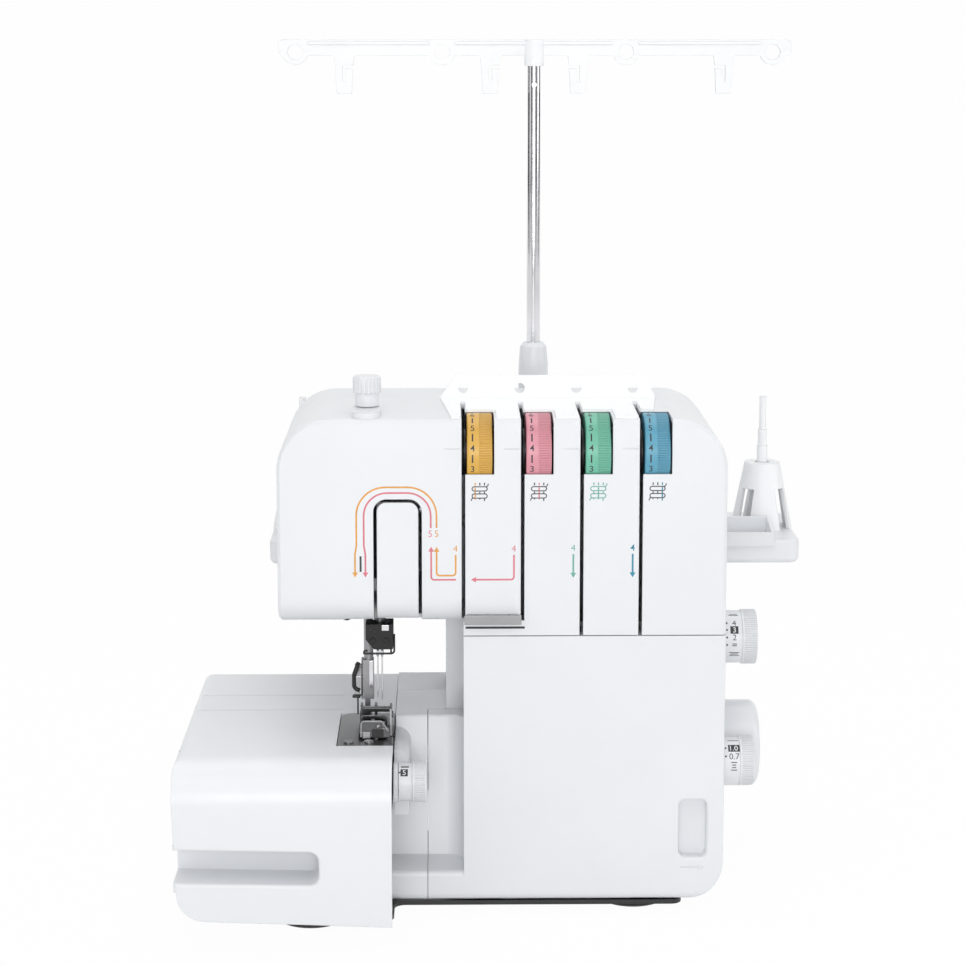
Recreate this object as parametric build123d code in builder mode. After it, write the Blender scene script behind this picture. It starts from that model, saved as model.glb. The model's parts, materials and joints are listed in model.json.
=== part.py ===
"""Four-thread overlock machine (serger): a free-arm body with a slide-off bed cover, a looper cover that
slides and swings down, four tension dials, and a telescopic thread tree on a spool stand behind.

Frame: origin on the table under the centre of the whole machine, +X to the right (handwheel side),
+Y to the back, +Z up. Millimetres.
"""
import os
from math import cos, pi, radians, sin

from build123d import *

os.makedirs("parts", exist_ok=True)

# ------------------------------------------------------------------ driving dimensions: whole machine
overall_width = 352.4        # left face of the bed cover to the right end of the spool stand
overall_depth = 281.0        # front of the bed cover to the back of the spool stand
left_end = -overall_width / 2
right_end = overall_width / 2
front_end = -overall_depth / 2
back_end = overall_depth / 2

wall = 2.5                   # moulded covers
seam = 0.5                   # gap round a cover that moves
run_clear = 0.05             # radial clearance of a running fit
slide_clear = 0.4            # clearance of a guided cover
loose_clear = 1.0            # clearance of a piece that moves freely in an opening

# ------------------------------------------------------------------ driving dimensions: body
foot_radius = 20.5
foot_height = 4.5
base_thickness = 2.5
base_top = foot_height + base_thickness
body_right = 118.4
body_front = -76.5
body_back = 48.0
head_left = -123.9
head_top = 275.0
head_bottom = 163.0
head_corner = 27.5
cover_corner = 22.0
seam_height = 156.8          # between the head panel and the looper cover
panel_left = -23.7           # left edge of the looper cover's panel and of the column above it
pillar_left = -33.3
pillar_front = -28.0
shell_split = -2.0           # plane between the head panel and the rear housing
bay_front = -65.5            # front edge of the column behind the looper cover
head_lip = 14.0              # rounding under the front of the head
rear_corner = 6.0

# ------------------------------------------------------------------ driving dimensions: bed
bed_top = 103.0
bed_right = -61.6
bed_corner = 22.0            # front top edge of the bed cover
bed_side_corner = 15.0
bed_foot_left = 20.3         # height of the cover's lower edge at its left end
bed_foot_right = 16.1        # and at its right end
bed_lean = 2.5               # its left end leans in towards the bottom
bed_lean_top = 85.0          # from this height down
arm_left = -152.0
arm_front = -104.0
arm_back = -20.0
arm_bottom = 62.0
plate_left = -91.5
plate_front = -101.5
plate_back = -37.5
plate_thickness = 2.8

# ------------------------------------------------------------------ driving dimensions: sewing parts
needle_x = -69.5             # midway between the two needles
needle_pitch = 2.4
needle_y = -57.5
needle_bar_y = needle_y + 4.2
needle_bar_radius = 3.2
presser_x = -76.0
presser_y = -48.5
presser_radius = 2.6

# ------------------------------------------------------------------ driving dimensions: threads
thread_count = 4
thread_first = -23.7         # middle of the first thread slot
thread_pitch = 31.85
slot_width = 2.0
slot_back = -21.5
dial_y = -57.5
dial_z = 255.0
dial_radius = 20.5
dial_width = 13.6
window_width = 15.5
window_gap = 0.8             # between a dial and the edges of its window
window_back = -50.0
stud_radius = 2.5

# ------------------------------------------------------------------ driving dimensions: spool stand
stand_left = -137.4
stand_front = 50.5
stand_bottom = 168.6
stand_top = 182.3
stand_wall = 2.4
pole_x = 19.5
pole_y = (stand_front + back_end) / 2
pole_radius = 4.05
socket_top = 295.5
pole_top = 461.0
pole_engaged = 30.0
bar_bottom = 466.0
bar_top = 475.5
cone_base = 18.5             # radius of a cone adapter's foot
pin_inset = 17.7             # outer spool pins, in from the end of the stand
pin_outer = right_end - pole_x - pin_inset
pin_inner = 54.0
eyelet_outer = 141.3
eyelet_inner = 54.4
hook_outer = 112.4
hook_inner = 26.0

slot_places = [thread_first + thread_pitch * i for i in range(thread_count)]


def front_plane(y):
    """Plane facing the front at depth y, with X to the right and Z up."""
    return Plane.XZ.offset(-y)


def side_plane(x):
    """Plane facing right at x, with Y as its first axis and Z up."""
    return Plane.YZ.offset(x)


def level_plane(z):
    """Level plane at height z."""
    return Plane.XY.offset(z)


def block(x0, x1, y0, y1, z0, z1, mode=Mode.ADD):
    """Box between two corners, added to the active part."""
    with Locations(((x0 + x1) / 2, (y0 + y1) / 2, (z0 + z1) / 2)):
        Box(abs(x1 - x0), abs(y1 - y0), abs(z1 - z0), mode=mode)


def rod_x(x0, x1, y, z, radius, mode=Mode.ADD):
    """Cylinder along X between x0 and x1, added to the active part."""
    with Locations(((x0 + x1) / 2, y, z)):
        Cylinder(radius, abs(x1 - x0), rotation=(0, 90, 0), mode=mode)


def rod_y(x, y0, y1, z, radius, mode=Mode.ADD):
    """Cylinder along Y between y0 and y1, added to the active part."""
    with Locations((x, (y0 + y1) / 2, z)):
        Cylinder(radius, abs(y1 - y0), rotation=(90, 0, 0), mode=mode)


def rod_z(x, y, z0, z1, radius, mode=Mode.ADD):
    """Cylinder along Z between z0 and z1, added to the active part."""
    with Locations((x, y, (z0 + z1) / 2)):
        Cylinder(radius, abs(z1 - z0), mode=mode)


def save(piece, name):
    """Label a finished piece and write it as one STEP file."""
    piece.part.label = name
    export_step(piece.part, f"parts/{name}.step")


# ================================================================== base
base_left = head_left
base_right = body_right - cover_corner
base_step = -100.0           # front of the base under the bed cover
cover_floor = base_top + 0.3
cover_roll = 5.0             # rounding of the looper cover's lower front edge, about its hinge
pivot_y = body_front + cover_roll
pivot_z = cover_floor + cover_roll
hinge_rod = 1.5
cover_travel = 8.0
cover_sweep = cover_roll + 0.3   # round the hinge rod, swept by the swinging cover
lug_width = 6.0
lug_round = 2.2
lug_riser = 3.0
hinge_lugs = [panel_left + 14, base_right - 20]
with BuildPart() as base_plate:
    with BuildSketch(level_plane(foot_height)) as base_outline:
        with BuildLine():
            Polyline(
                (base_left, base_step),
                (bed_right, base_step),
                (bed_right, body_front + 2),
                (base_right, body_front + 2),
                (base_right, body_back - 1),
                (base_left, body_back - 1),
                close=True,
            )
        make_face()
        fillet(base_outline.vertices(), 6)
    extrude(amount=base_thickness)
    # lugs of the looper cover's hinge rod: hooks that hold the rod from behind, clear of the cover's edge
    for lug_left in hinge_lugs:
        rod_x(lug_left, lug_left + lug_width, pivot_y, pivot_z, lug_round)
        block(lug_left, lug_left + lug_width, pivot_y, pivot_y + cover_sweep + lug_riser,
              pivot_z - lug_round, pivot_z + lug_round)
        block(lug_left, lug_left + lug_width, pivot_y + cover_sweep,
              pivot_y + cover_sweep + lug_riser, base_top - 1, pivot_z)
        rod_x(lug_left - 1, lug_left + lug_width + 1, pivot_y, pivot_z, hinge_rod + run_clear,
              mode=Mode.SUBTRACT)
save(base_plate, "base_plate")

foot_places = [
    (-106.7, -79.0),
    (70.4, -48.0),
    (-100.0, body_back - foot_radius - 2),
    (base_right - foot_radius, body_back - foot_radius - 2),
]
with BuildPart() as rubber_feet:
    for foot_x, foot_y in foot_places:
        with BuildSketch(Plane.XZ.offset(-foot_y)):
            with BuildLine():
                Polyline(
                    (foot_x, 0),
                    (foot_x + foot_radius - 2, 0),
                    (foot_x + foot_radius, 1.5),
                    (foot_x + foot_radius - 0.8, foot_height),
                    (foot_x, foot_height),
                    close=True,
                )
            make_face()
        revolve(axis=Axis((foot_x, foot_y, 0), (0, 0, 1)))
save(rubber_feet, "rubber_feet")


# ================================================================== head and rear covers
def head_core(inset, back):
    """Solid front half of the head, every face but the back one moved inwards by inset."""
    left = head_left + inset
    right = body_right - inset
    top = head_top - inset
    front = body_front + inset
    low = head_bottom + inset
    rim = seam_height + (0 if inset == 0 else -1)    # the hollow runs out through the rim
    lip = head_lip - inset
    with BuildPart() as core:
        with BuildSketch(front_plane(back)) as face:
            with BuildLine():
                Polyline(
                    (left, low),
                    (panel_left + inset, low),
                    (panel_left + inset, rim),
                    (right, rim),
                    (right, top),
                    (left, top),
                    close=True,
                )
            make_face()
            fillet(face.vertices().group_by(Axis.Y)[-1], head_corner - inset)
        extrude(amount=back - front)
        # the front of the head rolls under above the needles
        with BuildSketch(side_plane(head_left - 1)) as roll:
            with Locations((front + lip / 2, low + lip / 2)):
                Rectangle(lip, lip)
            with Locations((front + lip, low + lip)):
                Circle(lip, mode=Mode.SUBTRACT)
        extrude(amount=panel_left + inset - head_left + 1, mode=Mode.SUBTRACT)
    return core.part


lug_low = 178.0              # lugs that guide the needle bar and the presser bar
lug_high = 232.0
lug_thick = 7.0
boss_height = 3.2
screw_y = presser_y
take_left = -72.2
take_right = -46.1
take_top = 231.8
take_gap = 1.9

with BuildPart() as head_front_panel:
    add(head_core(0, shell_split))
    top_front = head_front_panel.edges().filter_by(Axis.X).group_by(Axis.Z)[-1].sort_by(Axis.Y)[0]
    chamfer(top_front, 1.6)
    # boss round the pressure screw
    with BuildSketch(level_plane(head_top - 1)):
        with Locations((presser_x, screw_y - 9)):
            SlotOverall(34, 15.3, rotation=90)
    extrude(amount=boss_height + 1)
    add(head_core(wall, shell_split), mode=Mode.SUBTRACT)
    # floor of the panel over the looper cover
    block(panel_left, body_right, body_front + wall, bay_front, seam_height, seam_height + wall)
    # opening over the column and the pillar
    block(panel_left - 8, body_right - wall, pillar_front + wall, shell_split + 1,
          seam_height - 1, head_bottom + wall + 1, mode=Mode.SUBTRACT)
    # passage of the pressure screw, needle bar, presser bar and its lifter
    rod_z(presser_x, screw_y, head_top - wall - 1, head_top + boss_height + 1, 5.0, mode=Mode.SUBTRACT)
    block(presser_x - 12, needle_x + 13, body_front + 8, presser_y + 12,
          head_bottom - 1, head_bottom + wall + 1, mode=Mode.SUBTRACT)
    # take-up window, open at the bottom
    with BuildSketch(front_plane(body_front + head_lip + 2)) as take_window:
        with Locations(((take_left + take_right) / 2, (head_bottom - 2 + take_top) / 2)):
            Rectangle(take_right - take_left, take_top - head_bottom + 2)
        fillet(take_window.vertices().group_by(Axis.Y)[-1], 7)
    extrude(amount=head_lip + 4, mode=Mode.SUBTRACT)
    for index, slot_x in enumerate(slot_places):
        slot_low = head_bottom + 2 if index < 2 else seam_height - 1
        block(slot_x - slot_width / 2, slot_x + slot_width / 2, body_front - 1, slot_back,
              slot_low, head_top + 1, mode=Mode.SUBTRACT)
        window_left = slot_x + slot_width / 2 - 0.5
        block(window_left, window_left + window_width + 0.5, body_front - 1, dial_y,
              dial_z, head_top + 1, mode=Mode.SUBTRACT)
        rod_x(window_left, window_left + window_width + 0.5, dial_y, dial_z, dial_radius + window_gap,
              mode=Mode.SUBTRACT)
save(head_front_panel, "head_front_panel")

# cover over the take-up levers, following the roll under the head
take_depth = 7.5             # how far the cover follows the roll under the head
with BuildPart() as take_up_cover:
    add(head_core(0.4, body_front + head_lip + 3))
    add(head_core(0.4 + 2.2, body_front + head_lip + 4), mode=Mode.SUBTRACT)
    with BuildSketch(front_plane(body_front + take_depth)) as take_lid:
        with Locations(((take_left + take_right) / 2, (head_bottom + take_top) / 2)):
            Rectangle(take_right - take_left - 2 * take_gap, take_top - head_bottom - 2 * take_gap)
        fillet(take_lid.vertices().group_by(Axis.Y)[-1], 7 - take_gap)
    extrude(amount=take_depth + 1, mode=Mode.INTERSECT)
    # stay that carries the cover on the lower lug of the head frame
    block(needle_x - 1, needle_x + 5, body_front + 2, needle_bar_y - 7, lug_low + 1, lug_low + 6)
save(take_up_cover, "take_up_cover")


def column_outline(inset, left, top):
    """Front outline of the column less an inset, its lower right corner rounded."""
    with BuildSketch() as outline:
        with BuildLine():
            Polyline(
                (left + inset, base_top + inset),
                (body_right - inset, base_top + inset),
                (body_right - inset, top),
                (left + inset, top),
                close=True,
            )
        make_face()
        low_right = outline.vertices().group_by(Axis.Y)[0].sort_by(Axis.X)[-1]
        fillet(low_right, cover_corner - inset)
    return outline.sketch


def rear_head_outline(inset):
    """Front outline of the rear half of the head less an inset."""
    with BuildSketch() as outline:
        with BuildLine():
            Polyline(
                (head_left + inset, head_bottom + inset),
                (body_right - inset, head_bottom + inset),
                (body_right - inset, head_top - inset),
                (head_left + inset, head_top - inset),
                close=True,
            )
        make_face()
        fillet(outline.vertices().group_by(Axis.Y)[-1], head_corner - inset)
    return outline.sketch


shaft_y = -9.5
shaft_z = 77.2
length_dial_y = -19.5
length_dial_z = 141.8
feed_dial_y = -51.5
feed_dial_z = 79.2
inlet_y = 31.0
inlet_z = 45.0
switch_z = 69.0
lifter_x = -93.0
lifter_z = 190.0
lifter_y = 22.0
lifter_radius = 3.0
shaft_hole = 9.0

with BuildPart() as rear_housing:
    with BuildSketch(front_plane(body_back)):
        add(rear_head_outline(0))
        add(column_outline(0, pillar_left, head_bottom + 1))
    extrude(amount=body_back - shell_split)
    back_edges = rear_housing.faces().sort_by(Axis.Y)[-1].edges()
    fillet(back_edges, rear_corner)
    with BuildSketch(front_plane(shell_split)):
        add(column_outline(0, pillar_left, seam_height))
    extrude(amount=shell_split - pillar_front)
    with BuildSketch(front_plane(pillar_front)):
        add(column_outline(0, panel_left, seam_height))
    extrude(amount=pillar_front - bay_front)
    # pillar rises to the underside of the head
    block(pillar_left, panel_left, pillar_front, shell_split, seam_height, head_bottom)
    # hollow
    with BuildSketch(front_plane(body_back - wall)):
        add(rear_head_outline(wall))
        add(column_outline(wall, pillar_left, head_bottom + wall + 1))
    extrude(amount=body_back - wall - shell_split, mode=Mode.SUBTRACT)
    with BuildSketch(front_plane(shell_split)):
        add(column_outline(wall, pillar_left, head_bottom + 1))
    extrude(amount=shell_split - pillar_front - wall, mode=Mode.SUBTRACT)
    with BuildSketch(front_plane(pillar_front + wall)):
        add(column_outline(wall, panel_left, head_bottom + 1))
    extrude(amount=pillar_front + wall - bay_front + 1, mode=Mode.SUBTRACT)
    # open floor on the base plate, open bay side towards the loopers
    block(pillar_left + wall, base_right, pillar_front + wall, body_back - wall,
          base_top - 1, base_top + wall + 1, mode=Mode.SUBTRACT)
    block(panel_left + wall, base_right, bay_front - 1, pillar_front + wall + 1,
          base_top - 1, base_top + wall + 1, mode=Mode.SUBTRACT)
    block(panel_left - 1, panel_left + wall + 1, bay_front - 1, pillar_front,
          base_top - 1, bed_top + 12, mode=Mode.SUBTRACT)
    block(pillar_left - 1, pillar_left + wall + 1, pillar_front + wall, body_back - 14,
          arm_bottom, bed_top - 4, mode=Mode.SUBTRACT)
    # shafts, inlet and switch through the right side
    rod_x(body_right - wall - 1, body_right + 1, shaft_y, shaft_z, shaft_hole, mode=Mode.SUBTRACT)
    rod_x(body_right - wall - 1, body_right + 1, length_dial_y, length_dial_z, 4.2, mode=Mode.SUBTRACT)
    rod_x(body_right - wall - 1, body_right + 1, feed_dial_y, feed_dial_z, 4.2, mode=Mode.SUBTRACT)
    block(body_right - wall - 1, body_right + 1, inlet_y - 9, inlet_y + 9,
          inlet_z - 11, inlet_z + 11, mode=Mode.SUBTRACT)
    block(body_right - wall - 1, body_right + 1, inlet_y - 6, inlet_y + 6,
          switch_z - 9, switch_z + 9, mode=Mode.SUBTRACT)
    # slot for the presser lifter's handle in the floor of the head
    block(lifter_x - 6, lifter_x + 20, lifter_y - 2, lifter_y + 7, head_bottom - 1, head_bottom + wall + 1,
          mode=Mode.SUBTRACT)
    # cooling slots in the back
    with Locations(*[(12 + 7 * i, body_back - wall / 2, 38) for i in range(9)]):
        Box(2.6, wall + 2, 34, mode=Mode.SUBTRACT)
save(rear_housing, "rear_housing")

# ================================================================== cast frame, bearings and drive
frame_left = -29.0
frame_left_thick = 6.0
frame_right = 76.0
frame_right_thick = 6.0
shaft_radius = 5.0
bush_radius = 8.0
bush_flange = 10.5
beam_bottom = 220.0
beam_top = 246.0
beam_front = -28.0
beam_back = 8.0
rocker_y = -20.0
rocker_z = 209.0
rocker_radius = 4.0
motor_y = 19.0
motor_z = 38.0
motor_radius = 24.0
motor_length = 60.0

with BuildPart() as main_frame:
    # left wall, with the head arm cantilevered from it
    with BuildSketch(side_plane(frame_left)) as frame_wall:
        with BuildLine():
            Polyline(
                (pillar_front + wall + 1, base_top),
                (38, base_top),
                (30, 140),
                (24, beam_top + 12),
                (beam_front + 6, beam_top + 12),
                (pillar_front + wall + 1, 140),
                close=True,
            )
        make_face()
        fillet(frame_wall.vertices(), 4)
        with Locations((8, 165), (8, 115)):
            Rectangle(22, 26, mode=Mode.SUBTRACT)
    extrude(amount=frame_left_thick)
    block(base_left + 14, frame_left + 1, beam_front, beam_back, beam_bottom, beam_top)
    block(base_left + 18, frame_left - 4, beam_front - 1, beam_back - 5, beam_bottom + 5,
          beam_top - 5, mode=Mode.SUBTRACT)
    # lug that carries the presser lifter's shaft
    block(lifter_x - 7, lifter_x + 7, beam_back - 12, beam_back - 4, lifter_z - 7, beam_bottom + 1)
    rod_y(lifter_x, beam_back - 13, beam_back - 3, lifter_z, lifter_radius + run_clear, mode=Mode.SUBTRACT)
    # floor and right bearing wall
    block(frame_left, frame_right + frame_right_thick, -20, 38, base_top, base_top + 4)
    with BuildSketch(side_plane(frame_right)) as bearing_wall:
        with BuildLine():
            Polyline(
                (-20, base_top), (38, base_top), (44, 60), (10, 100), (-24, 100), (-24, 60), close=True,
            )
        make_face()
        fillet(bearing_wall.vertices().group_by(Axis.Y)[-1], 6)
    extrude(amount=frame_right_thick)
    rod_x(frame_left - 1, frame_left + frame_left_thick + 1, shaft_y, shaft_z, bush_radius,
          mode=Mode.SUBTRACT)
    rod_x(frame_right - 1, frame_right + frame_right_thick + 1, shaft_y, shaft_z, bush_radius,
          mode=Mode.SUBTRACT)
    rod_x(frame_right - 1, frame_right + frame_right_thick + 1, motor_y, motor_z, 6, mode=Mode.SUBTRACT)
    # bosses for the needle bar rocker
    rod_x(frame_left - 4, frame_left + 1, rocker_y, rocker_z, rocker_radius + 4)
    rod_x(frame_left - 5, frame_left + frame_left_thick + 1, rocker_y, rocker_z,
          rocker_radius + run_clear, mode=Mode.SUBTRACT)
save(main_frame, "main_frame")

with BuildPart() as shaft_bushes:
    for inner_face, side in ((frame_left, -1), (frame_right + frame_right_thick, 1)):
        far_face = inner_face - side * frame_left_thick
        rod_x(inner_face, far_face, shaft_y, shaft_z, bush_radius)
        rod_x(inner_face, inner_face + side * 1.5, shaft_y, shaft_z, bush_flange)
    rod_x(frame_left - 5, frame_right + 15, shaft_y, shaft_z, shaft_radius + run_clear, mode=Mode.SUBTRACT)
save(shaft_bushes, "shaft_bushes")

# head frame: two lugs that guide the needle bar and the presser bar
with BuildPart() as head_frame:
    block(presser_x - 10, needle_x + 9, beam_front - 8, beam_front, lug_low, lug_high + lug_thick)
    for lug_z in (lug_low, lug_high):
        with BuildSketch(level_plane(lug_z)) as lug:
            with BuildLine():
                Polyline(
                    (presser_x - 8, beam_front - 4),
                    (presser_x - 8, presser_y - 4),
                    (needle_x - 7, needle_bar_y - 7),
                    (needle_x + 7, needle_bar_y - 7),
                    (needle_x + 7, beam_front - 4),
                    close=True,
                )
            make_face()
            fillet(lug.vertices().group_by(Axis.Y)[0], 4)
        extrude(amount=lug_thick)
    rod_z(needle_x, needle_bar_y, lug_low - 1, lug_high + lug_thick + 1, needle_bar_radius + run_clear,
          mode=Mode.SUBTRACT)
    rod_z(presser_x, presser_y, lug_low - 1, lug_high + lug_thick + 1, presser_radius + run_clear,
          mode=Mode.SUBTRACT)
save(head_frame, "head_frame")

# motor against the right bearing wall, its shaft through the wall
pulley_x = frame_right + frame_right_thick + 3.0
pulley_width = 8.0
belt_width = 6.0
belt_thick = 1.6
big_pulley = 22.0
small_pulley = 7.5
motor_shaft = 2.5
with BuildPart() as motor:
    rod_x(frame_right - motor_length, frame_right, motor_y, motor_z, motor_radius)
    motor_ends = motor.edges().filter_by(GeomType.CIRCLE)
    fillet(motor_ends, 2)
    rod_x(frame_right - motor_length - 6, frame_right - motor_length + 1, motor_y, motor_z, 8)
    # foot of the motor on the frame's floor
    block(frame_right - motor_length + 8, frame_right - 8, motor_y - 12, motor_y + 12,
          base_top + 4, motor_z - motor_radius + 4)
    rod_x(frame_right - 8, frame_right + frame_right_thick + 2, motor_y, motor_z,
          motor_shaft + run_clear + 0.8)
    rod_x(frame_right - 9, frame_right + frame_right_thick + 3, motor_y, motor_z,
          motor_shaft + run_clear, mode=Mode.SUBTRACT)
save(motor, "motor")


def grooved_pulley(radius, bore, y, z):
    """Pulley with two rims, on an axis along X at y, z."""
    with BuildPart() as pulley:
        rod_x(pulley_x, pulley_x + pulley_width, y, z, radius)
        rim = (pulley_width - belt_width) / 2 - 0.3
        rod_x(pulley_x, pulley_x + rim, y, z, radius + belt_thick)
        rod_x(pulley_x + pulley_width - rim, pulley_x + pulley_width, y, z, radius + belt_thick)
        rod_x(pulley_x - 1, pulley_x + pulley_width + 1, y, z, bore, mode=Mode.SUBTRACT)
    return pulley


shaft_pulley = grooved_pulley(big_pulley, shaft_radius, shaft_y, shaft_z)
save(shaft_pulley, "shaft_pulley")

motor_pulley = grooved_pulley(small_pulley, 0.5, motor_y, motor_z)
with BuildPart() as motor_rotor:
    add(motor_pulley.part)
    rod_x(frame_right - 6, pulley_x + pulley_width, motor_y, motor_z, motor_shaft)
save(motor_rotor, "motor_pulley")

# belt: the two pulley circles and their outer tangents, as a thin closed band
belt_gap = 0.15


def belt_outline(grow):
    """Filled outline round both pulleys, larger than them by grow, in the belt's plane."""
    with BuildSketch() as outline:
        with Locations((shaft_y, shaft_z)):
            Circle(big_pulley + grow)
        with Locations((motor_y, motor_z)):
            Circle(small_pulley + grow)
        make_hull()
    return outline.sketch


with BuildPart() as drive_belt:
    with BuildSketch(side_plane(pulley_x + (pulley_width - belt_width) / 2)):
        add(belt_outline(belt_gap + belt_thick - 0.4))
        add(belt_outline(belt_gap), mode=Mode.SUBTRACT)
    extrude(amount=belt_width)
save(drive_belt, "drive_belt")

# main shaft with the two eccentrics that drive the loopers and the feed
eccentric_x = -42.0
wheel_bore = shaft_radius
wheel_right = 145.0
with BuildPart() as main_shaft:
    rod_x(eccentric_x - 8, wheel_right - 8, shaft_y, shaft_z, shaft_radius)
    rod_x(frame_left + frame_left_thick + 2, frame_left + frame_left_thick + 8, shaft_y, shaft_z, 9)
    for offset_y, place_x in ((3, eccentric_x - 4), (-3, eccentric_x + 3)):
        rod_x(place_x - 2.5, place_x + 2.5, shaft_y + offset_y, shaft_z, 10)
save(main_shaft, "main_shaft")

# handwheel: a smooth wheel with a rounded rim and a shallow dome
wheel_radius = 24.4
wheel_left = body_right + loose_clear
wheel_rim = 5.0
wheel_dome = 1.5
with BuildPart() as handwheel:
    with BuildSketch(front_plane(shaft_y)) as wheel_profile:
        with BuildLine():
            Polyline(
                (wheel_right, shaft_z),
                (wheel_left, shaft_z),
                (wheel_left, shaft_z + wheel_radius - 1),
                (wheel_left + 1, shaft_z + wheel_radius),
                (wheel_right - wheel_dome, shaft_z + wheel_radius),
            )
            TangentArc(
                (wheel_right, shaft_z),
                (wheel_right - wheel_dome, shaft_z + wheel_radius),
                tangent=(0, 1),
            )
        make_face()
        fillet(wheel_profile.vertices().filter_by(lambda v: v.Y > shaft_z + 1).sort_by(Axis.X)[-1], wheel_rim)
    revolve(axis=Axis((0, shaft_y, shaft_z), (1, 0, 0)))
    rod_x(wheel_left - 1, wheel_right - 8, shaft_y, shaft_z, wheel_bore, mode=Mode.SUBTRACT)
save(handwheel, "handwheel")

# ================================================================== free arm and needle plate
root_bottom = 91.0
root_top = 98.0
bracket_front = -33.0
bracket_back = -28.5
looper_low_x = -52.0
looper_low_z = 64.0
looper_high_x = -44.0
looper_high_z = 80.0
looper_shaft = 3.0
knife_y = -46.0
knife_z = 78.0
knife_pin = 2.5
arm_top = bed_top - wall - slide_clear
with BuildPart() as free_arm:
    block(arm_left, bed_right - 1, arm_front, arm_back, arm_bottom, arm_top)
    arm_left_edges = free_arm.edges().filter_by(Axis.Y).group_by(Axis.X)[0]
    fillet(arm_left_edges, 8)
    block(arm_left + wall, bed_right, arm_front + wall, arm_back - wall,
          arm_bottom + wall, arm_top - wall, mode=Mode.SUBTRACT)
    # raised seat of the needle plate, with the throat for the needles, dogs, knives and loopers
    block(plate_left, bed_right - 1, plate_front, plate_back, arm_top - wall, bed_top - plate_thickness)
    block(plate_left + 5, bed_right, plate_front + 16, plate_back - 3, arm_top - 2 * wall, bed_top,
          mode=Mode.SUBTRACT)
    # root of the arm on the cast frame, and the bracket that carries the looper shafts
    block(bed_right - 9, frame_left, arm_back - 5, arm_back + 6, root_bottom, root_top)
    block(bed_right - 3, pillar_left - 1, bracket_front, bracket_back, arm_bottom - 5, root_top)
    block(bed_right - 3, pillar_left - 1, bracket_front, arm_back, root_bottom, root_top)
    rod_y(looper_low_x, bracket_front - 1, bracket_back + 1, looper_low_z, looper_shaft + run_clear,
          mode=Mode.SUBTRACT)
    rod_y(looper_high_x, bracket_front - 1, bracket_back + 1, looper_high_z, looper_shaft + run_clear,
          mode=Mode.SUBTRACT)
    # lug of the upper knife's pivot
    block(needle_x - 4.5, needle_x - 0.5, knife_y - 5, knife_y + 5, arm_bottom, knife_z + 5)
    rod_x(needle_x - 5, needle_x, knife_y, knife_z, knife_pin + run_clear, mode=Mode.SUBTRACT)
save(free_arm, "free_arm")

plate_right = bed_right - 0.4
blade_x = -64.1              # cutting plane of the two knives
blade_thick = 1.2
knife_front = -82.0
knife_back = -67.0
dog_pitch = 4.6
dog_width = 2.0
dog_length = 10.4
dog_stroke = 2.0             # forwards and backwards
dog_y = needle_y + 9.8
screw_head = 2.7
plate_screws = [(plate_left + 6, plate_front + 6), (plate_left + 17, plate_front + 6)]
with BuildPart() as needle_plate:
    with BuildSketch(level_plane(bed_top - plate_thickness)) as plate_outline:
        with Locations(((plate_left + plate_right) / 2, (plate_front + plate_back) / 2)):
            Rectangle(plate_right - plate_left, plate_back - plate_front)
        back_left = plate_outline.vertices().sort_by(Axis.X)[:2].sort_by(Axis.Y)[-1]
        fillet(back_left, 8)
        # needle slot, dog slots, and the side notch for the knives
        with Locations((needle_x, needle_y)):
            SlotOverall(needle_pitch + 4.4, 3.2, mode=Mode.SUBTRACT)
        with Locations(*[(needle_x - 2 + dog_pitch * (i - 1), dog_y) for i in range(3)]):
            Rectangle(dog_width + 0.8, dog_length + 2 * dog_stroke + 1, mode=Mode.SUBTRACT)
        with Locations(((blade_x - 1.4 + plate_right + 1) / 2, (knife_front + knife_back) / 2 + 1)):
            Rectangle(plate_right + 1 - blade_x + 1.4, knife_back - knife_front + 9, mode=Mode.SUBTRACT)
        with Locations(*plate_screws):
            Circle(1.7, mode=Mode.SUBTRACT)
    extrude(amount=plate_thickness)
    plate_rim = needle_plate.faces().sort_by(Axis.Z)[-1].outer_wire().edges()
    chamfer(plate_rim.filter_by(Axis.X), 0.3)
save(needle_plate, "needle_plate")

with BuildPart() as lower_knife:
    with BuildSketch(side_plane(blade_x - blade_thick)):
        with BuildLine():
            Polyline(
                (knife_front + 3, bed_top - 14),
                (knife_back - 2, bed_top - 14),
                (knife_back, bed_top - 4),
                (knife_back, bed_top),
                (knife_front, bed_top),
                (knife_front, bed_top - 5),
                close=True,
            )
        make_face()
    extrude(amount=blade_thick)
    # clamp block that holds the knife under the plate
    block(blade_x - 9, blade_x - blade_thick, knife_front + 2, knife_back - 3,
          arm_bottom + wall, bed_top - 6)
save(lower_knife, "lower_knife")

with BuildPart() as upper_knife:
    rod_x(needle_x - 4.9, blade_x + 0.2, knife_y, knife_z, knife_pin)
    with BuildSketch(side_plane(blade_x + 0.2)) as knife_arm:
        with BuildLine():
            Polyline(
                (knife_y + 4, knife_z - 4),
                (knife_y + 4, knife_z + 5),
                (knife_back + 4, bed_top - 8),
                (knife_back, bed_top + 14),
                (knife_front + 5, bed_top + 14),
                (knife_front + 2, bed_top - 1),
                (knife_front + 6, bed_top - 16),
                (knife_y - 4, knife_z - 4),
                close=True,
            )
        make_face()
        fillet(knife_arm.vertices(), 1)
    extrude(amount=blade_thick)
    # clamp screw of the blade
    rod_x(blade_x + blade_thick, blade_x + blade_thick + 0.9, knife_back - 5, bed_top + 9, 1.8)
save(upper_knife, "upper_knife")

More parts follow.
